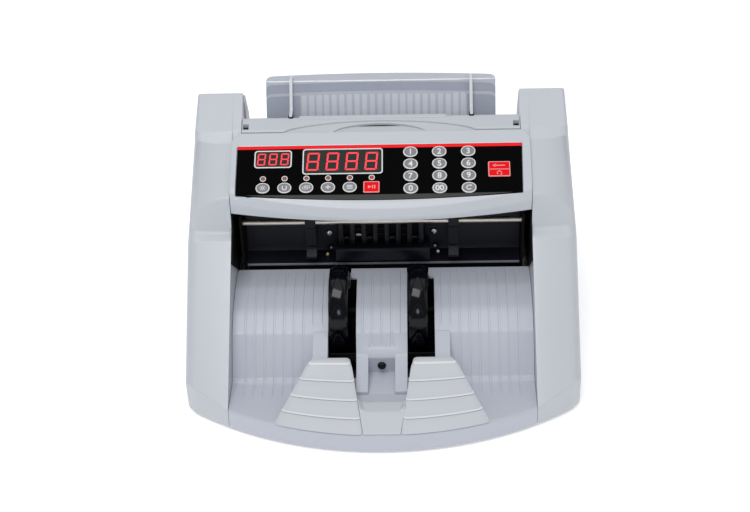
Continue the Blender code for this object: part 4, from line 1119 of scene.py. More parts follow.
COMB_X = (-27.6, -9.8, 7.9, 25.4)
comb = prism("comb_bar", fillet([(25.2, 67.6, 0.8), (37.0, 67.6, 0.3), (37.0, 79.0, 0.3), (26.6, 79.0, 1.2), (25.2, 77.6, 0.8)], 5), 'X', -36.4, 36.4, M_INNER)
add_bevel(comb, 0.4, 2, 50)
bake(comb)
parts = [comb]
for i, cx in enumerate(COMB_X):
    # twin fingers joined by an arch at the foot
    for s2 in (-1, 1):
        a, b = cx + s2 * 6.3, cx + s2 * 2.6
        f = prism("finger_%d_%d" % (i, s2), fillet([(31.0, 77.0, 0.2), (37.0, 77.0, 0.2), (37.0, 117.0, 0.3), (32.8, 117.0, 1.0), (31.0, 84.0, 6.0)], 4), 'X', min(a, b),
                  max(a, b), M_BLACK)
        add_bevel(f, 0.7, 3, 45)
        bake(f)
        parts.append(f)
    n = 14
    arch = [(cx - 3.6, 79.0), (cx - 3.6, 82.6)] + [(cx + 3.1 * math.cos(math.radians(180 - 180 * k / n)), 78.4 + 4.3 * math.sin(math.radians(180 - 180 * k / n)))
                                                   for k in range(n + 1)][0:0]
    hood = [(cx - 3.6, 78.6), (cx - 3.6, 84.6)] + [(cx - 3.6 + 7.2 * k / n, 84.6 + 0.5 * math.sin(math.pi * k / n)) for k in range(1, n)] + [(cx + 3.6, 84.6), (cx + 3.6, 78.6)]
    hood += [(cx + 2.7 * math.cos(math.pi * k / n), 78.6 + 4.2 * math.sin(math.pi * k / n)) for k in range(0, n + 1)]
    h = prism("hood_%d" % i, hood, 'Y', 33.6, 36.8, M_BLACK)
    add_bevel(h, 0.25, 2, 50)
    bake(h)
    parts.append(h)
_bk = prism("comb_back", fillet([(36.2, 79.0, 0.2), (37.2, 79.0, 0.2), (37.2, 116.0, 0.3), (36.2, 116.0, 0.3)], 3), 'X', -35.2, 33.0, M_DARK)
parts.append(_bk)
for bx, z0, z1 in ((-18.6, 90.0, 91.6), (-18.6, 84.6, 86.4), (-0.9, 90.8, 91.8), (-0.9, 86.2, 87.0), (16.7, 91.0, 92.0), (16.7, 85.0, 86.2)):
    bb = prism("clip", rrect(34.9, 36.4, z0, z1, 0.3, 3), 'X', bx - 2.0, bx + 2.0, M_ROD if (bx < -10.0 and z0 < 86.0) else M_BLACK)
    parts.append(bb)
# paler strip along the foot of the comb bar: painted highlight
comb_highlight_strip = prism("comb_painted_highlight", rrect(24.9 + 0.35, 26.3, 68.0, 69.0, 0.4, 4), 'X', -35.8, 35.8, M_LIP_PAINTED_HIGHLIGHT)
parts.append(comb_highlight_strip)
done(combine("guide_comb_look", parts), "base", "black_plastic", "guide_comb")

prof = [(-109.6, 2.6), (-109.2, 3.0)]
for cx in COMB_X:
    prof += [(cx - 5.2, 3.0), (cx - 5.2, 9.0), (cx - 4.8, 9.4)]
    for k in range(4):
        prof += [(cx - 4.2 + 0.75 * k, 9.4), (cx - 4.0 + 0.75 * k, 9.1), (cx - 3.8 + 0.75 * k, 9.4)]
    prof += [(cx - 1.0, 9.4), (cx - 0.9, 7.4), (cx + 0.9, 7.4), (cx + 1.0, 9.4)]
    for k in range(4):
        prof += [(cx + 1.5 + 0.75 * k, 9.4), (cx + 1.7 + 0.75 * k, 9.1), (cx + 1.9 + 0.75 * k, 9.4)]
    prof += [(cx + 4.8, 9.4), (cx + 5.2, 9.0), (cx + 5.2, 3.0)]
prof += [(109.2, 3.0), (109.6, 2.6)]


def roller_mat(j, i):
    if j < 0 or j >= len(prof) - 1:
        return 1
    return 1 if prof[j][1] <= 3.0 and prof[j + 1][1] <= 3.0 else 0


done(lathe("exit_rollers_look", prof, 'X', (EXIT_Y, EXIT_Z), [M_RUBBER, M_ROD], 48, 35.0, roller_mat), "exit_rollers", "rubber", "exit_roller_shaft")

prof = [(-109.6, 2.6), (-109.2, 3.0)]
for a, b in ((-46.0, -22.0), (22.0, 46.0)):
    prof += [(a, 3.0), (a, 14.4), (a + 0.6, 15.0)]
    n = 9
    for k in range(n):
        s = a + 1.4 + (b - a - 2.8) * k / (n - 1)
        prof += [(s - 0.5, 15.0), (s - 0.3, 14.5), (s + 0.3, 14.5), (s + 0.5, 15.0)]
    prof += [(b - 0.6, 15.0), (b, 14.4), (b, 3.0)]
prof += [(109.2, 3.0), (109.6, 2.6)]
done(lathe("feed_rollers_look", prof, 'X', (FEED_Y, FEED_Z), [M_RUBBER, M_ROD], 56, 35.0, roller_mat), "feed_rollers", "rubber", "feed_roller_shaft")

for _side, cx in (("left", -54.8), ("right", 54.6)):
    arm = prism(_side + "_arm", fillet([(23.6, 108.2, 2.5), (32.4, 108.2, 2.5), (32.8, 98.0, 1.0), (31.2, 77.4, 3.0), (25.2, 72.6, 2.0), (21.6, 73.0, 0.7),
                                        (21.2, 74.9, 0.7), (26.6, 79.4, 2.5), (26.2, 98.0, 2.0), (23.4, 100.0, 1.0)], 4), 'X', cx - 4.0, cx + 4.0, M_BLACK)
    boolean(arm, [lathe("b", [(cx - 12, 2.4), (cx + 12, 2.4)], 'X', (ROD_Y, ROD_Z), M_BLACK, 32),
                  prism("g", [(18.0, 78.6), (27.6, 80.6), (27.4, 82.0), (18.0, 80.2)], 'X', cx - 3.0, cx + 3.0, M_BLACK)])
    add_bevel(arm, 0.45, 2, 45)
    done(arm, "arm_" + _side, "black_plastic", _side + "_press_arm")


# matt black sheet behind the rollers, a dark stand-in for the shade behind the roller windows, and a painted highlight
# strip along the guide plate's rolled lip
_g = prism("rear_shade_sheet", [(59.4, 66.0), (60.4, 66.0), (60.4, 97.0), (55.0, 104.0), (52.4, 121.0), (51.4, 121.0), (54.0, 103.6), (59.4, 96.6)], 'X', -105.8, 105.8, M_DARK)
done(_g, "base", "black_metal")
# paler strip along the guide plate's rolled lip: painted highlight
_g = prism("lip_painted_highlight", fillet([(27.5, 63.0, 0.3), (28.2, 62.2, 0.4), (29.4, 62.1, 0.3), (28.4, 64.5, 0.5), (27.7, 64.7, 0.3)], 4), 'X', -105.6, 105.6, M_LIP_PAINTED_HIGHLIGHT)
done(_g, "base", "black_metal")


# screws on the guide plate
def screw(name, x, y, z, r, mat, slot="steel", tilt=0.0):
    """Pan head screw facing forwards with a cross recess."""
    prof = [(y, r * 0.98), (y - 0.2 * r, r), (y - 0.45 * r, r * 0.9), (y - 0.62 * r, r * 0.7), (y - 0.7 * r, r * 0.42), (y - 0.72 * r, r * 0.1)]
    s = lathe(name, prof, 'Y', (x, z), mat, 32)
    a = box("c1", x - r * 0.62, x + r * 0.62, y - r, y - r * 0.35, z - r * 0.11, z + r * 0.11, mat)
    b = box("c2", x - r * 0.11, x + r * 0.11, y - r, y - r * 0.35, z - r * 0.62, z + r * 0.62, mat)
    boolean(s, [a, b])
    return done(s, "base", slot)


for _n, (sx, sy, sz, sr, sm) in enumerate(((-41.4, 41.1, 84.4, 2.9, M_SCREW), (39.8, 41.1, 84.8, 2.9, M_SCREW), (-40.4, 38.9, 71.6, 1.3, M_SCREW), (40.4, 38.9, 72.2, 1.4, M_SCREW),
                                           (-43.2, 34.2, 68.6, 1.9, M_BRASS), (42.6, 34.6, 69.8, 2.0, M_SCREW))):
    screw("plate_screw_%d" % _n, sx, sy, sz, sr, sm)

for _side, sg in (("left", -1.0), ("right", 1.0)):
    pl = prism(_side + "_plate", fillet([(-26.0, 6.0, 2.0), (104.0, 6.0, 2.0), (104.0, 121.0, 2.0), (66.0, 121.0, 2.0), (58.0, 126.0, 2.0), (30.0, 122.0, 4.0),
                                         (20.0, 112.0, 4.0), (19.0, 74.0, 3.0), (27.0, 66.0, 1.0), (27.0, 57.6, 0.5), (4.0, 56.8, 1.0), (-10.0, 54.6, 1.0), (-26.0, 46.0, 1.0)], 3),
               'X', sg * 106.4, sg * 108.4, M_DARK)
    tl = []
    for hy, hz, hr in ((IMP_Y, IMP_Z, 3.2), (ROD_Y, ROD_Z, 2.4), (EXIT_Y, EXIT_Z, 3.2), (FEED_Y, FEED_Z, 3.2)):
        tl.append(lathe("b", [(sg * 100.0, hr), (sg * 112.0, hr)], 'X', (hy, hz), M_INNER, 24))
    boolean(pl, tl)
    add_bevel(pl, 0.3, 2, 50)
    done(pl, "base", "black_metal", _side + "_frame_plate")

# =============================================================== stacking wheels
NBLADE = 10
TIP_PHASE = math.radians(100.0)


def fin(name, cx, a0):
    """One long curved fin: full width at its root, narrowing to a rounded tip, crowned across."""
    na, nh = 30, 14
    rings = []
    for i in range(na + 1):
        a = math.radians(78.0) * (i / na) ** 1.5
        w = 7.1 * max(0.10, min(1.0, a / math.radians(31.0)) ** 0.56)
        r = IMP_R - 3.0 * a / math.radians(36.0)
        th = lerp(0.55, 1.3, min(1.0, a / math.radians(40.0)))
        top, low = [], []
        for k in range(nh + 1):
            h = w * (-1.0 + 2.0 * k / nh)
            e = max(0.0, abs(h) - (w - 0.7)) / 0.7
            rr = r - 1.0 * (h / 7.1) ** 2 - 0.25 * e * e
            top.append((cx + h, IMP_Y + rr * math.cos(a0 + a), IMP_Z + rr * math.sin(a0 + a)))
            rl = r - 1.0 * (h / 7.1) ** 2 - th
            low.append((cx + h, IMP_Y + rl * math.cos(a0 + a), IMP_Z + rl * math.sin(a0 + a)))
        rings.append(top + list(reversed(low)))
    return to_object(name, rings_mesh(rings), M_WHEEL, 38.0)


for _side, cx in (("left", -33.0), ("right", 26.9)):
    hub = lathe("hub", [(cx - 6.9, 28.6), (cx - 6.5, 29.2), (cx + 6.5, 29.2), (cx + 6.9, 28.6)], 'X', (IMP_Y, IMP_Z), M_WHEEL, 64)
    boolean(hub, [lathe("b", [(cx - 12, 3.1), (cx + 12, 3.1)], 'X', (IMP_Y, IMP_Z), M_WHEEL, 24)])
    wparts = [hub] + [fin("fin_%d" % k, cx, TIP_PHASE + 2 * math.pi * k / NBLADE) for k in range(NBLADE)]
    done(combine(_side + "_wheel", wparts), "impeller", "wheel_plastic", _side + "_stacking_wheel")
done(lathe("impeller_shaft_look", [(-109.6, 2.6), (-109.2, 3.0), (-25.0, 3.0), (-24.8, 2.8), (-23.8, 2.8), (-23.6, 3.0), (16.6, 3.0), (16.8, 2.8), (17.8, 2.8), (18.0, 3.0),
                                   (109.2, 3.0), (109.6, 2.6)], 'X', (IMP_Y, IMP_Z), M_DARK, 40), "impeller", "black_plastic", "impeller_shaft")
# matt black wells under the wheel slots, dark stand-ins that keep the slots in painted shade
for _side, x0, x1 in (("left", -41.6, -18.9), ("right", 17.6, 40.2)):
    wp = []
    n = 26
    for k in range(n + 1):
        a = math.radians(200.0 + 150.0 * k / n)
        wp.append((IMP_Y + 39.0 * math.cos(a), IMP_Z + 39.0 * math.sin(a)))
    for k in range(n + 1):
        a = math.radians(350.0 - 150.0 * k / n)
        wp.append((IMP_Y + 38.0 * math.cos(a), IMP_Z + 38.0 * math.sin(a)))
    bin_ = prism(_side + "_well_floor", wp, 'X', x0 + 0.8, x1 - 0.8, M_DARK)
    bits = [bin_]
    for a, b in ((x0, x0 + 0.9), (x1 - 0.9, x1)):
        w = prism("well_wall", fillet([(-50.0, 22.0, 2.0), (-38.0, 6.6, 8.0), (20.0, 6.6, 8.0), (26.0, 40.0, 3.0), (26.0, 56.0, 1.0), (4.0, 56.6, 1.0), (-10.0, 54.6, 2.0),
                                       (-21.0, 51.0, 2.0), (-33.0, 43.4, 2.0), (-48.6, 25.4, 1.0)], 4), 'X', a, b, M_DARK)
        boolean(w, [lathe("b", [(a - 3, 3.4), (b + 3, 3.4)], 'X', (IMP_Y, IMP_Z), M_DARK, 24)])
        bits.append(w)
    rx0, rx1 = (-25.2, x1) if _side == "left" else (34.7, x1)
    bits.append(prism("well_rear", fillet([(10.1, 30.0, 0.3), (11.2, 30.0, 0.3), (11.2, 60.2, 0.3), (10.1, 60.2, 0.3)], 2), 'X', rx0, rx1, M_DARK))
    done(combine(_side + "_slot_shade_well", bits), "base", "black_plastic")
for _side, sg in (("left", -1.0), ("right", 1.0)):
    ln = prism(_side + "_opening_liner", fillet([(5.6, 101.6, 0.4), (-7.6, 89.2, 0.4), (23.6, 62.0, 0.8), (62.0, 62.0, 0.5), (62.0, 117.0, 0.5), (17.0, 117.0, 0.5), (15.4, 108.4, 1.0), (12.4, 105.0, 1.0)], 3),
               'X', sg * 112.2, sg * 113.3, M_DARK)
    done(ln, "base", "black_plastic")
es = prism("exit_skirt", fillet([(28.8, 54.0, 0.3), (29.8, 54.0, 0.3), (29.8, 63.2, 0.3), (28.8, 63.2, 0.3)], 2), 'X', -105.2, 105.2, M_DARK)
done(es, "base", "black_plastic")
pf = prism("pocket_floor", fillet([(-76.0, FLOOR_Z - 1.6, 0.2), (-45.0, FLOOR_Z - 1.6, 0.2), (-45.0, FLOOR_Z + 0.12, 0.2), (-76.0, FLOOR_Z + 0.12, 0.1)], 2), 'X', -11.2, 9.7, M_TRAY)
done(pf, "base", "tray_plastic")
for _side, a, b in (("left", -11.5, -10.7), ("right", 9.2, 10.0)):
    sk = prism(_side + "_pocket_wall", fillet([(-75.2, FLOOR_Z - 0.5, 0.1), (-49.4, FLOOR_Z - 0.5, 0.1), (-49.4, 31.9, 0.3), (-75.2, 20.2, 0.6)], 3), 'X', a, b, M_TRAY)
    add_bevel(sk, 0.2, 2, 45)
    done(sk, "base", "tray_plastic")

# =============================================================== hopper lid
LID_HALF = EAR_X - 0.5
_lc = [(64.0, 158.4, 0.3), (64.0, 161.6, 0.8), (65.2, 162.5, 1.2), (76.4, 166.3, 2.2), (78.8, 165.7, 1.6), (79.5, 163.4, 2.0), (81.0, 140.0, 0.4), (79.0, 140.0, 0.4),
       (77.0, 162.4, 1.0), (75.8, 163.2, 1.0), (66.6, 159.8, 0.6), (66.0, 158.4, 0.3)]
lid = prism("hopper_lid_shell", fillet(_lc, 5), 'X', -LID_HALF, LID_HALF, M_LID)
_sc = []
for k in range(49):
    a = math.pi * k / 48
    _sc.append((-1.0 + 34.5 * math.cos(a), 62.0 + 8.8 * math.sin(a)))
bm = bmesh.new()
_ra = [bm.verts.new((p[0] * 1.04, 62.0 + (p[1] - 62.0) * 1.14, 160.2)) for p in _sc]
_rb = [bm.verts.new((p[0], p[1], 171.0)) for p in _sc]
bm.faces.new(list(reversed(_ra)))
bm.faces.new(_rb)
for k in range(len(_sc)):
    m = (k + 1) % len(_sc)
    bm.faces.new((_ra[k], _ra[m], _rb[m], _rb[k]))
_scoop = to_object("scoop", bm, M_LID, None)
_plane = prism("scoop_floor", [(50.0, 157.6), (50.0, 156.8), (64.0, 160.1), (76.0, 162.3), (76.0, 172.0), (50.0, 172.0)], 'X', -60.0, 60.0, M_LID)
_m = _scoop.modifiers.new("i", 'BOOLEAN')
_m.operation = 'INTERSECT'
_m.solver = 'EXACT'
_m.object = _plane
bake(_scoop, None)
bpy.data.objects.remove(_plane)
_nt = [box("nl", -105.4, -100.9, 66.2, 71.4, 150.0, 170.0, M_LID), box("nr", 100.9, 105.4, 66.2, 71.4, 150.0, 170.0, M_LID)]
# wide shallow facet in front of the scoop
_wf = []
for k in range(49):
    a = math.pi * k / 48
    _wf.append((-1.0 + 74.0 * math.cos(a), 63.0 + 10.2 * math.sin(a) ** 1.3))
_facet = prism("facet", _wf, 'Z', 150.0, 175.0, M_LID)
_fp = prism("facet_plane", [(55.0, 157.4), (64.6, 160.9), (74.5, 164.6), (74.5, 176.0), (55.0, 176.0)], 'X', -80.0, 80.0, M_LID)
_m = _facet.modifiers.new("i", 'BOOLEAN')
_m.operation = 'INTERSECT'
_m.solver = 'EXACT'
_m.object = _fp
bake(_facet, None)
bpy.data.objects.remove(_fp)
boolean(lid, [_facet, _scoop] + _nt)
add_bevel(lid, 0.45, 3, 42)
done(lid, "lid", "body_plastic", "hopper_lid")

_b = prism("lid_rear_bead", fillet([(74.2, 165.0, 0.2), (75.2, 166.7, 0.5), (78.0, 167.5, 0.6), (79.2, 165.4, 0.5), (78.0, 164.4, 0.2)], 3), 'X', -62.5, 50.0, M_LID)
add_bevel(_b, 0.3, 2, 45)
done(_b, "lid", "body_plastic")
for _side, sg in (("left", -1.0), ("right", 1.0)):
    # hinge pins in the end windows, and the hopper side plates behind the ears
    p = lathe(_side + "_hinge_boss", [(sg * 101.2, 1.6), (sg * 101.6, 2.0), (sg * 104.4, 2.0), (sg * 104.8, 1.6)], 'X', (67.4, 160.0), M_DARK, 28)
    done(p, "base", "black_plastic")
    hb = prism(_side + "_hinge_bracket", fillet([(63.2, 152.0, 0.4), (72.6, 152.0, 0.4), (72.6, 158.6, 0.8), (63.2, 156.8, 0.8)], 3), 'X', sg * 100.4, sg * 105.8, M_DARK)
    add_bevel(hb, 0.3, 2, 45)
    done(hb, "lid", "black_plastic")
    sp = prism(_side + "_hopper_side", fillet([(93.0, 141.0, 0.5), (93.0, 172.0, 1.0), (95.6, 176.4, 1.4), (97.4, 176.0, 1.0), (111.0, 153.0, 2.0), (112.0, 141.0, 1.0)], 4), 'X', sg * (105.2 if sg < 0 else 106.3), sg * 107.4, M_BODY)
    boolean(sp, [prism("sl", rrect(sg * 105.2 - 0.8, sg * 105.2 + 0.8, 96.6, 97.8, 0.3, 2), 'Z', 160.0, 169.0, M_BODY)])
    add_bevel(sp, 0.4, 3, 45)
    done(sp, "base", "body_plastic")

# =============================================================== clear support with flutes, and its ribs
CLEAR = [(82.6, 140.0, 0.0), (85.0, 158.0, 6.0), (95.0, 178.4, 8.0), (99.4, 186.2, 4.0), (107.2, 189.8, 0.0)]
_cf = fillet(CLEAR, 6, False)
_path = []
for a, b in zip(_cf[:-1], _cf[1:]):
    L = math.hypot(b[0] - a[0], b[1] - a[1])
    n = max(1, int(L / 1.6))
    for i in range(n):
        _path.append((lerp(a[0], b[0], i / n), lerp(a[1], b[1], i / n)))
_path.append(_cf[-1])


def path_normal(i):
    a = _path[max(0, i - 1)]
    b = _path[min(len(_path) - 1, i + 1)]
    t = Vector((b[0] - a[0], b[1] - a[1])).normalized()
    return Vector((-t.y, t.x))


def support_surface():
    rows = []
    half = 88.5
    n = 420
    for j in range(n + 1):
        x = -half + 2 * half * j / n
        front, back = [], []
        q = abs(x) / half
        arch = 1.9 + 2.0 * q ** 2.2 + (0.9 if x > 0 else 0.0) * q                        # the top edge drops towards both ends
        corner = 0.0
        if abs(x) > half - 4.5:
            c = (abs(x) - (half - 4.5)) / 4.5
            corner = 4.5 * (1 - math.sqrt(max(0.0, 1 - c * c)))
        last = len(_path) - 1
        total = sum(math.hypot(_path[i + 1][0] - _path[i][0], _path[i + 1][1] - _path[i][1]) for i in range(last))
        keep = total - arch - corner
        s = 0.0
        lens = [0.0]
        for i in range(last):
            s += math.hypot(_path[i + 1][0] - _path[i][0], _path[i + 1][1] - _path[i][1])
            lens.append(s)
        for i in range(last + 1):
            d = keep * i / last
            k = 0
            while k < last - 1 and lens[k + 1] < d:
                k += 1
            t = (d - lens[k]) / max(lens[k + 1] - lens[k], 1e-6)
            y = lerp(_path[k][0], _path[k + 1][0], t)
            z = lerp(_path[k][1], _path[k + 1][1], t)
            nn = path_normal(k).lerp(path_normal(min(k + 1, last)), t)
            fl = 0.0
            if -62.5 < x < 66.5 and z < 181.0:
                w = min(1.0, (177.0 - z) / 1.5) * min(1.0, (x + 62.5) / 1.0, (66.5 - x) / 1.0)
                fl = 0.9 * max(0.0, w) * abs(math.sin(math.pi * (x + 62.5) / 5.86)) ** 0.6
            if 176.6 < z < 179.4:
                fl = 0.75 * (0.5 - 0.5 * math.cos(2 * math.pi * (z - 176.6) / 2.8))
            back.append((x, y - nn.x * 0.1, z - nn.y * 0.1))
            front.append((x, y + nn.x * (-1.95 + fl) * -1.0 * -1.0, z + nn.y * (-1.95 + fl) * -1.0 * -1.0))
        rows.append(front + list(reversed(back)))
    npt = len(rows[0])

    def mf(j, i):
        if j < 0 or j >= len(rows) - 1:
            return 0
        p = rows[j][i]
        if -62.6 < p[0] < 66.4 and p[2] < 177.0:
            # the valleys between flutes take the darker material: painted shade
            ph = ((p[0] + 62.5) / 5.86) % 1.0
            return 2 if (ph < 0.17 or ph > 0.83) else 1
        # the top flange and the bead below it take the paler clear material: painted highlight
        zc = rows[len(rows) // 2][i][2]
        if zc > 185.0 or 177.6 < zc < 179.4:
            return 3
        return 0
    return rings_mesh(rows, mat_fn=mf)


clear = to_object("clear_support", support_surface(), [M_CLEAR, M_FLUTE, M_FLUTE_PAINTED_SHADE, M_CLEAR_PAINTED_HIGHLIGHT], 40.0)
done(clear, "lid", "clear_plastic", "clear_note_support")

for _side, cx in (("left", -69.0), ("right", 69.6)):
    rib = prism(_side + "_rib", fillet([(76.4, 166.8, 0.3), (80.6, 166.9, 0.5), (88.2, 166.9, 1.0), (94.4, 178.9, 6.0), (98.6, 186.4, 4.0), (102.4, 188.1, 0.4), (101.8, 189.1, 0.4),
                                        (97.4, 188.4, 4.0), (91.6, 180.6, 6.0), (84.0, 169.6, 3.0), (76.4, 168.4, 0.4)], 4), 'X', cx - 1.2, cx + 1.2, M_RIB)
    add_bevel(rib, 0.4, 3, 45)
    done(rib, "lid", "rib_plastic", _side + "_support_rib")
    ft = prism(_side + "_rib_foot", rrect(cx - 1.9, cx + 1.9, 76.2, 80.4, 0.8, 4), 'Z', 164.6, 167.6, M_BLACK)
    add_bevel(ft, 0.3, 2, 45)
    done(ft, "lid", "black_plastic")

# =============================================================== hopper inside and the back
plate = prism("hopper_plate_look", fillet([(112.4, 136.0, 0.6), (96.0, 112.0, 14.0), (92.0, 100.0, 0.6), (94.0, 99.6, 0.6), (97.8, 111.0, 14.0), (114.0, 134.8, 0.6)], 6),
              'X', -103.4, 103.4, M_BODY)
add_bevel(plate, 0.3, 2, 45)
bake(plate)
ribs = [plate]
for k in range(-6, 7):
    cx = 14.0 * k
    if abs(abs(cx) - 34.0) < 13.0:
        continue
    r = prism("pr", [(111.6, 136.2), (96.0, 113.6), (93.6, 106.0), (94.8, 106.0), (98.0, 112.0), (112.8, 134.8)], 'X', cx - 0.8, cx + 0.8, M_BODY)
    add_bevel(r, 0.3, 2, 45)
    bake(r)
    ribs.append(r)
done(combine("hopper_plate_full", ribs), "base", "body_plastic", "hopper_plate")

for _side, sg in (("left", -1.0), ("right", 1.0)):
    g = prism(_side + "_guide", fillet([(94.5, 149.5, 2.0), (108.5, 139.5, 2.0), (111.0, 136.4, 2.0), (98.0, 117.4, 1.0), (94.5, 117.4, 1.0)], 4), 'X', sg * 84.0, sg * 87.0, M_STOP)
    add_bevel(g, 0.5, 3, 45)
    done(g, "guide_" + _side, "stop_plastic", _side + "_note_guide")

rear = prism("rear_panel", fillet([(-113.0, 118.2, 0.3), (113.0, 118.2, 0.3), (113.0, 120.6, 0.6), (-113.0, 120.6, 0.6)], 3), 'Z', BASE_Z, 134.0, M_BODY)
_c = [box("ih", 60.0, 88.0, 110.0, 125.0, 20.0, 40.4, M_BODY), box("sh", 30.0, 50.6, 110.0, 125.0, 20.0, 33.4, M_BODY)]
for k in range(11):
    _c.append(prism("v%d" % k, rrect(-84.0 + 7.0 * k - 1.6, -84.0 + 7.0 * k + 1.6, 22.0, 58.0, 1.5, 4), 'Y', 117.0, 122.0, M_BODY))
_c.append(prism("panelgroove", rrect(-104.0, 104.0, 66.0, 126.0, 4.0, 5), 'Y', 120.1, 122.0, M_BODY))
boolean(rear, _c)
add_bevel(rear, 0.35, 2, 45)
done(rear, "base", "body_plastic", "rear_cover")

hatch = prism("service_hatch", rrect(-103.2, 103.2, 66.8, 125.2, 3.6, 6), 'Y', 119.6, 120.6, M_BODY)
_c = [prism("fg", rrect(-12.0, 12.0, 117.0, 121.5, 2.0, 5), 'Y', 120.0, 122.0, M_BODY)]
boolean(hatch, _c)
add_bevel(hatch, 0.3, 2, 45)
done(hatch, "base", "body_plastic")
for k, (sx, sz) in enumerate(((-97.0, 72.0), (97.0, 72.0), (-97.0, 119.5), (97.0, 119.5))):
    r = 2.2
    s = lathe("hatch_screw_%d" % k, [(120.4, r), (120.9, r), (121.3, r * 0.85), (121.5, r * 0.5), (121.52, r * 0.1)], 'Y', (sx, sz), M_SCREW, 28)
    boolean(s, [box("c1", sx - 1.4, sx + 1.4, 121.1, 123.0, sz - 0.25, sz + 0.25, M_SCREW), box("c2", sx - 0.25, sx + 0.25, 121.1, 123.0, sz - 1.4, sz + 1.4, M_SCREW)])
    done(s, "base", "steel")
lab = prism("rating_plate", rrect(-70.0, -34.0, 8.0, 18.0, 1.0, 4), 'Y', 120.5, 120.9, M_LABEL)
done(lab, "base", "body_plastic")

inlet = box("inlet_body", 60.3, 87.7, 100.0, 121.2, 20.3, 40.1, M_BLACK, 0.0)
boolean(inlet, [prism("fl", fillet([(54.0, 30.2, 3.0), (60.0, 18.2, 3.0), (88.0, 18.2, 3.0), (94.0, 30.2, 3.0), (88.0, 42.2, 3.0), (60.0, 42.2, 3.0)], 5), 'Y', 120.7, 122.0, M_BLACK)], 'UNION')
boolean(inlet, [prism("so", fillet([(63.0, 23.0, 0.8), (85.0, 23.0, 0.8), (85.0, 33.0, 0.8), (81.0, 37.4, 0.8), (67.0, 37.4, 0.8), (63.0, 33.0, 0.8)], 3), 'Y', 106.0, 125.0, M_BLACK)])
add_bevel(inlet, 0.35, 2, 45)
done(inlet, "base", "black_plastic", "power_inlet")
for k, (px, pz) in enumerate(((68.4, 28.4), (74.0, 32.4), (79.6, 28.4))):
    p = prism("inlet_pin_%d" % k, rrect(px - 1.0, px + 1.0, pz - 2.0, pz + 2.0, 0.4, 3), 'Y', 105.6, 118.0, M_SCREW)
    add_bevel(p, 0.3, 2, 45)
    done(p, "base", "steel")
for k, sx in enumerate((57.4, 90.6)):
    s = lathe("inlet_screw_%d" % k, [(120.9, 1.7), (121.6, 1.6), (121.95, 1.0), (121.98, 0.2)], 'Y', (sx, 30.2), M_SCREW, 24)
    done(s, "base", "steel")
rk = lathe("rocker_look", [(30.9, 8.6), (31.2, 9.0), (49.4, 9.0), (49.7, 8.6)], 'X', (112.6, 26.7), M_BLACK, 64)
_f = box("f", 30.6, 50.0, 106.0, 124.0, 21.3, 32.1, M_BLACK, 0.0)
_m = rk.modifiers.new("i", 'BOOLEAN')
_m.operation = 'INTERSECT'
_m.solver = 'EXACT'
_m.object = _f
bake(rk)
bpy.data.objects.remove(_f)
add_bevel(rk, 0.35, 2, 45)
done(rk, "rocker", "black_plastic", "power_switch_rocker")

# =============================================================== underside
ap = []
for i in range(49):
    x = -110.0 + 220.0 * i / 48
    ap.append((x, front_y(x) + 6.0))
ap += [(110.0, 112.0), (-110.0, 112.0)]
pan = prism("base_sheet", ap, 'Z', 3.8, 5.4, M_PAN)
_c = []
for k in range(9):
    _c.append(prism("s%d" % k, rrect(-40.0 + 10.0 * k - 1.6, -40.0 + 10.0 * k + 1.6, 20.0, 60.0, 1.5, 4), 'Z', 0.0, 10.0, M_PAN))
boolean(pan, _c)
add_bevel(pan, 0.3, 2, 45)
done(pan, "base", "base_metal", "base_pan")

for nm, x, y in (("foot_front_left", -92, -82), ("foot_front_right", 92, -82), ("foot_rear_left", -92, 98), ("foot_rear_right", 92, 98)):
    lo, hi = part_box(nm)
    z1 = hi.z / MM
    f = lathe(nm + "_look", [(0.0, 3.0), (0.6, 3.4), (0.6, 5.8), (0.0, 6.2), (0.0, 7.6), (0.3, 8.2), (z1 - 0.8, 8.9), (z1 - 0.3, 9.0), (z1, 8.7)], 'Z', (x, y), M_FOOT, 48)
    done(f, "base", "rubber", nm)

# =============================================================== parts kept from the CAD
KEEP = {"control_board": (M_BOARD, "circuit_board"), "drive_motor": (M_MOTOR, "base_metal")}
for nm, (mat, slot) in KEEP.items():
    o = NODES[nm]
    o.data.materials.clear()
    o.data.materials.append(mat)

# =============================================================== studio
def stage_plane():
    bm = bmesh.new()
    prof = [(-2.2, 0.0), (1.2, 0.0), (1.6, 0.06), (1.9, 0.25), (2.05, 0.6), (2.1, 2.6)]
    rows = [[bm.verts.new((x, y, z - 0.0002)) for y, z in prof] for x in (-3.0, 3.0)]
    for i in range(len(prof) - 1):
        bm.faces.new((rows[0][i], rows[1][i], rows[1][i + 1], rows[0][i + 1]))
    me = bpy.data.meshes.new("sweep")
    bm.to_mesh(me)
    bm.free()
    m, nt, b = new_mat("paper_sweep")
    n = noise(nt, 3.0, 2.0)
    nt.links.new(ramp(nt, n.outputs["Fac"], (0.93, 0.93, 0.935), (0.95, 0.95, 0.952)).outputs["Color"], b.inputs["Base Color"])
    nt.links.new(map_range(nt, n.outputs["Fac"], 0.75, 0.85).outputs["Result"], b.inputs["Roughness"])
    b.inputs["Specular IOR Level"].default_value = 0.1
    b.inputs["Emission Color"].default_value = (1.0, 1.0, 1.0, 1.0)
    b.inputs["Emission Strength"].default_value = 0.32
    me.materials.append(m)
    for p in me.polygons:
        p.use_smooth = True
    ob = bpy.data.objects.new("sweep", me)
    ROOT.objects.link(ob)
    return ob


stage_plane()


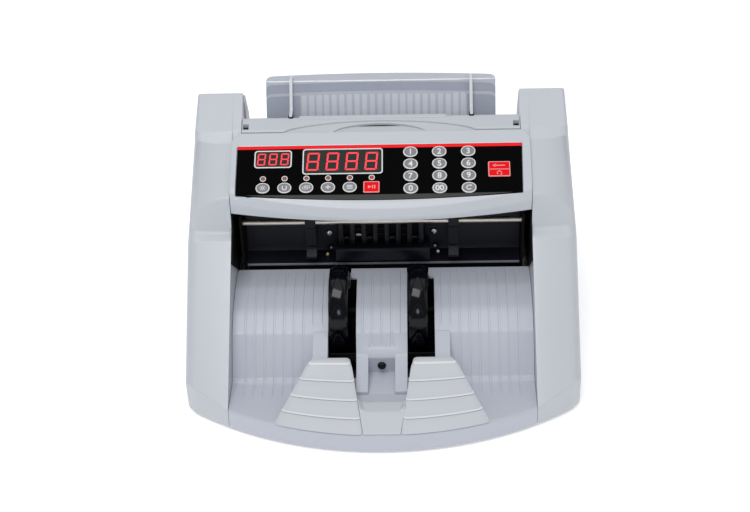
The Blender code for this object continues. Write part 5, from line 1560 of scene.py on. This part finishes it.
def area(name, loc, target, size, power, color=(1, 1, 1), sy=None):
    ld = bpy.data.lights.new(name, 'AREA')
    ld.energy = power
    ld.color = color
    ld.shape = 'RECTANGLE'
    ld.size = size
    ld.size_y = sy or size
    ob = bpy.data.objects.new(name, ld)
    ROOT.objects.link(ob)
    ob.location = loc
    ob.rotation_euler = (Vector(target) - Vector(loc)).to_track_quat('-Z', 'Y').to_euler()
    return ob


area("key_soft", (-0.22, -0.72, 1.62), (0, 0, 0.05), 0.9, 12.1, (1.0, 0.99, 0.98), 0.6)
area("fill_right", (1.3, -0.6, 0.9), (0, 0, 0.08), 1.2, 3.2, (0.97, 0.98, 1.0))
area("fill_left", (-1.3, -0.5, 0.8), (0, 0, 0.08), 1.2, 2.6, (0.97, 0.98, 1.0))
_g = area("glint_front", (0.0, -1.28, 0.45), (0, 0, 0.06), 0.20, 0.95, (0.86, 0.99, 1.0), 0.26)
_g.data.shape = 'ELLIPSE'
area("top_soft", (0.0, 0.1, 1.7), (0, 0, 0.1), 1.4, 6.0, (1.0, 1.0, 1.0))

world = bpy.data.worlds.new("studio_world")
scene.world = world
world.use_nodes = True
bg = world.node_tree.nodes["Background"]
bg.inputs["Color"].default_value = (0.97, 0.985, 1.0, 1.0)
bg.inputs["Strength"].default_value = 0.30
scene.view_settings.view_transform = 'Standard'
scene.view_settings.look = 'None'

# camera fitted to the reference view
EL, AZ, RO = math.radians(35.0), math.radians(2.0), math.radians(1.9)
right = Vector((math.cos(AZ), math.sin(AZ), 0.0))
back = Vector((math.sin(AZ) * math.cos(EL), -math.cos(AZ) * math.cos(EL), math.sin(EL)))
up = back.cross(right)
Rv = right * math.cos(RO) - up * math.sin(RO)
Uv = right * math.sin(RO) + up * math.cos(RO)
cd = bpy.data.cameras.new("camera")
cd.sensor_width = 36.0
cd.lens = 1518.0 * 36.0 / 750.0
cd.shift_x = (375.0 - 382.1) / 750.0
cd.shift_y = (266.4 - 256.0) / 750.0
cd.clip_start = 0.05
cd.clip_end = 20.0
cam = bpy.data.objects.new("camera", cd)
ROOT.objects.link(cam)
pos = Vector((0, 0, 0.080)) + back * 1.150
rot = Matrix((Rv, Uv, back)).transposed()
cam.matrix_world = Matrix.Translation(pos) @ rot.to_4x4()
scene.camera = cam
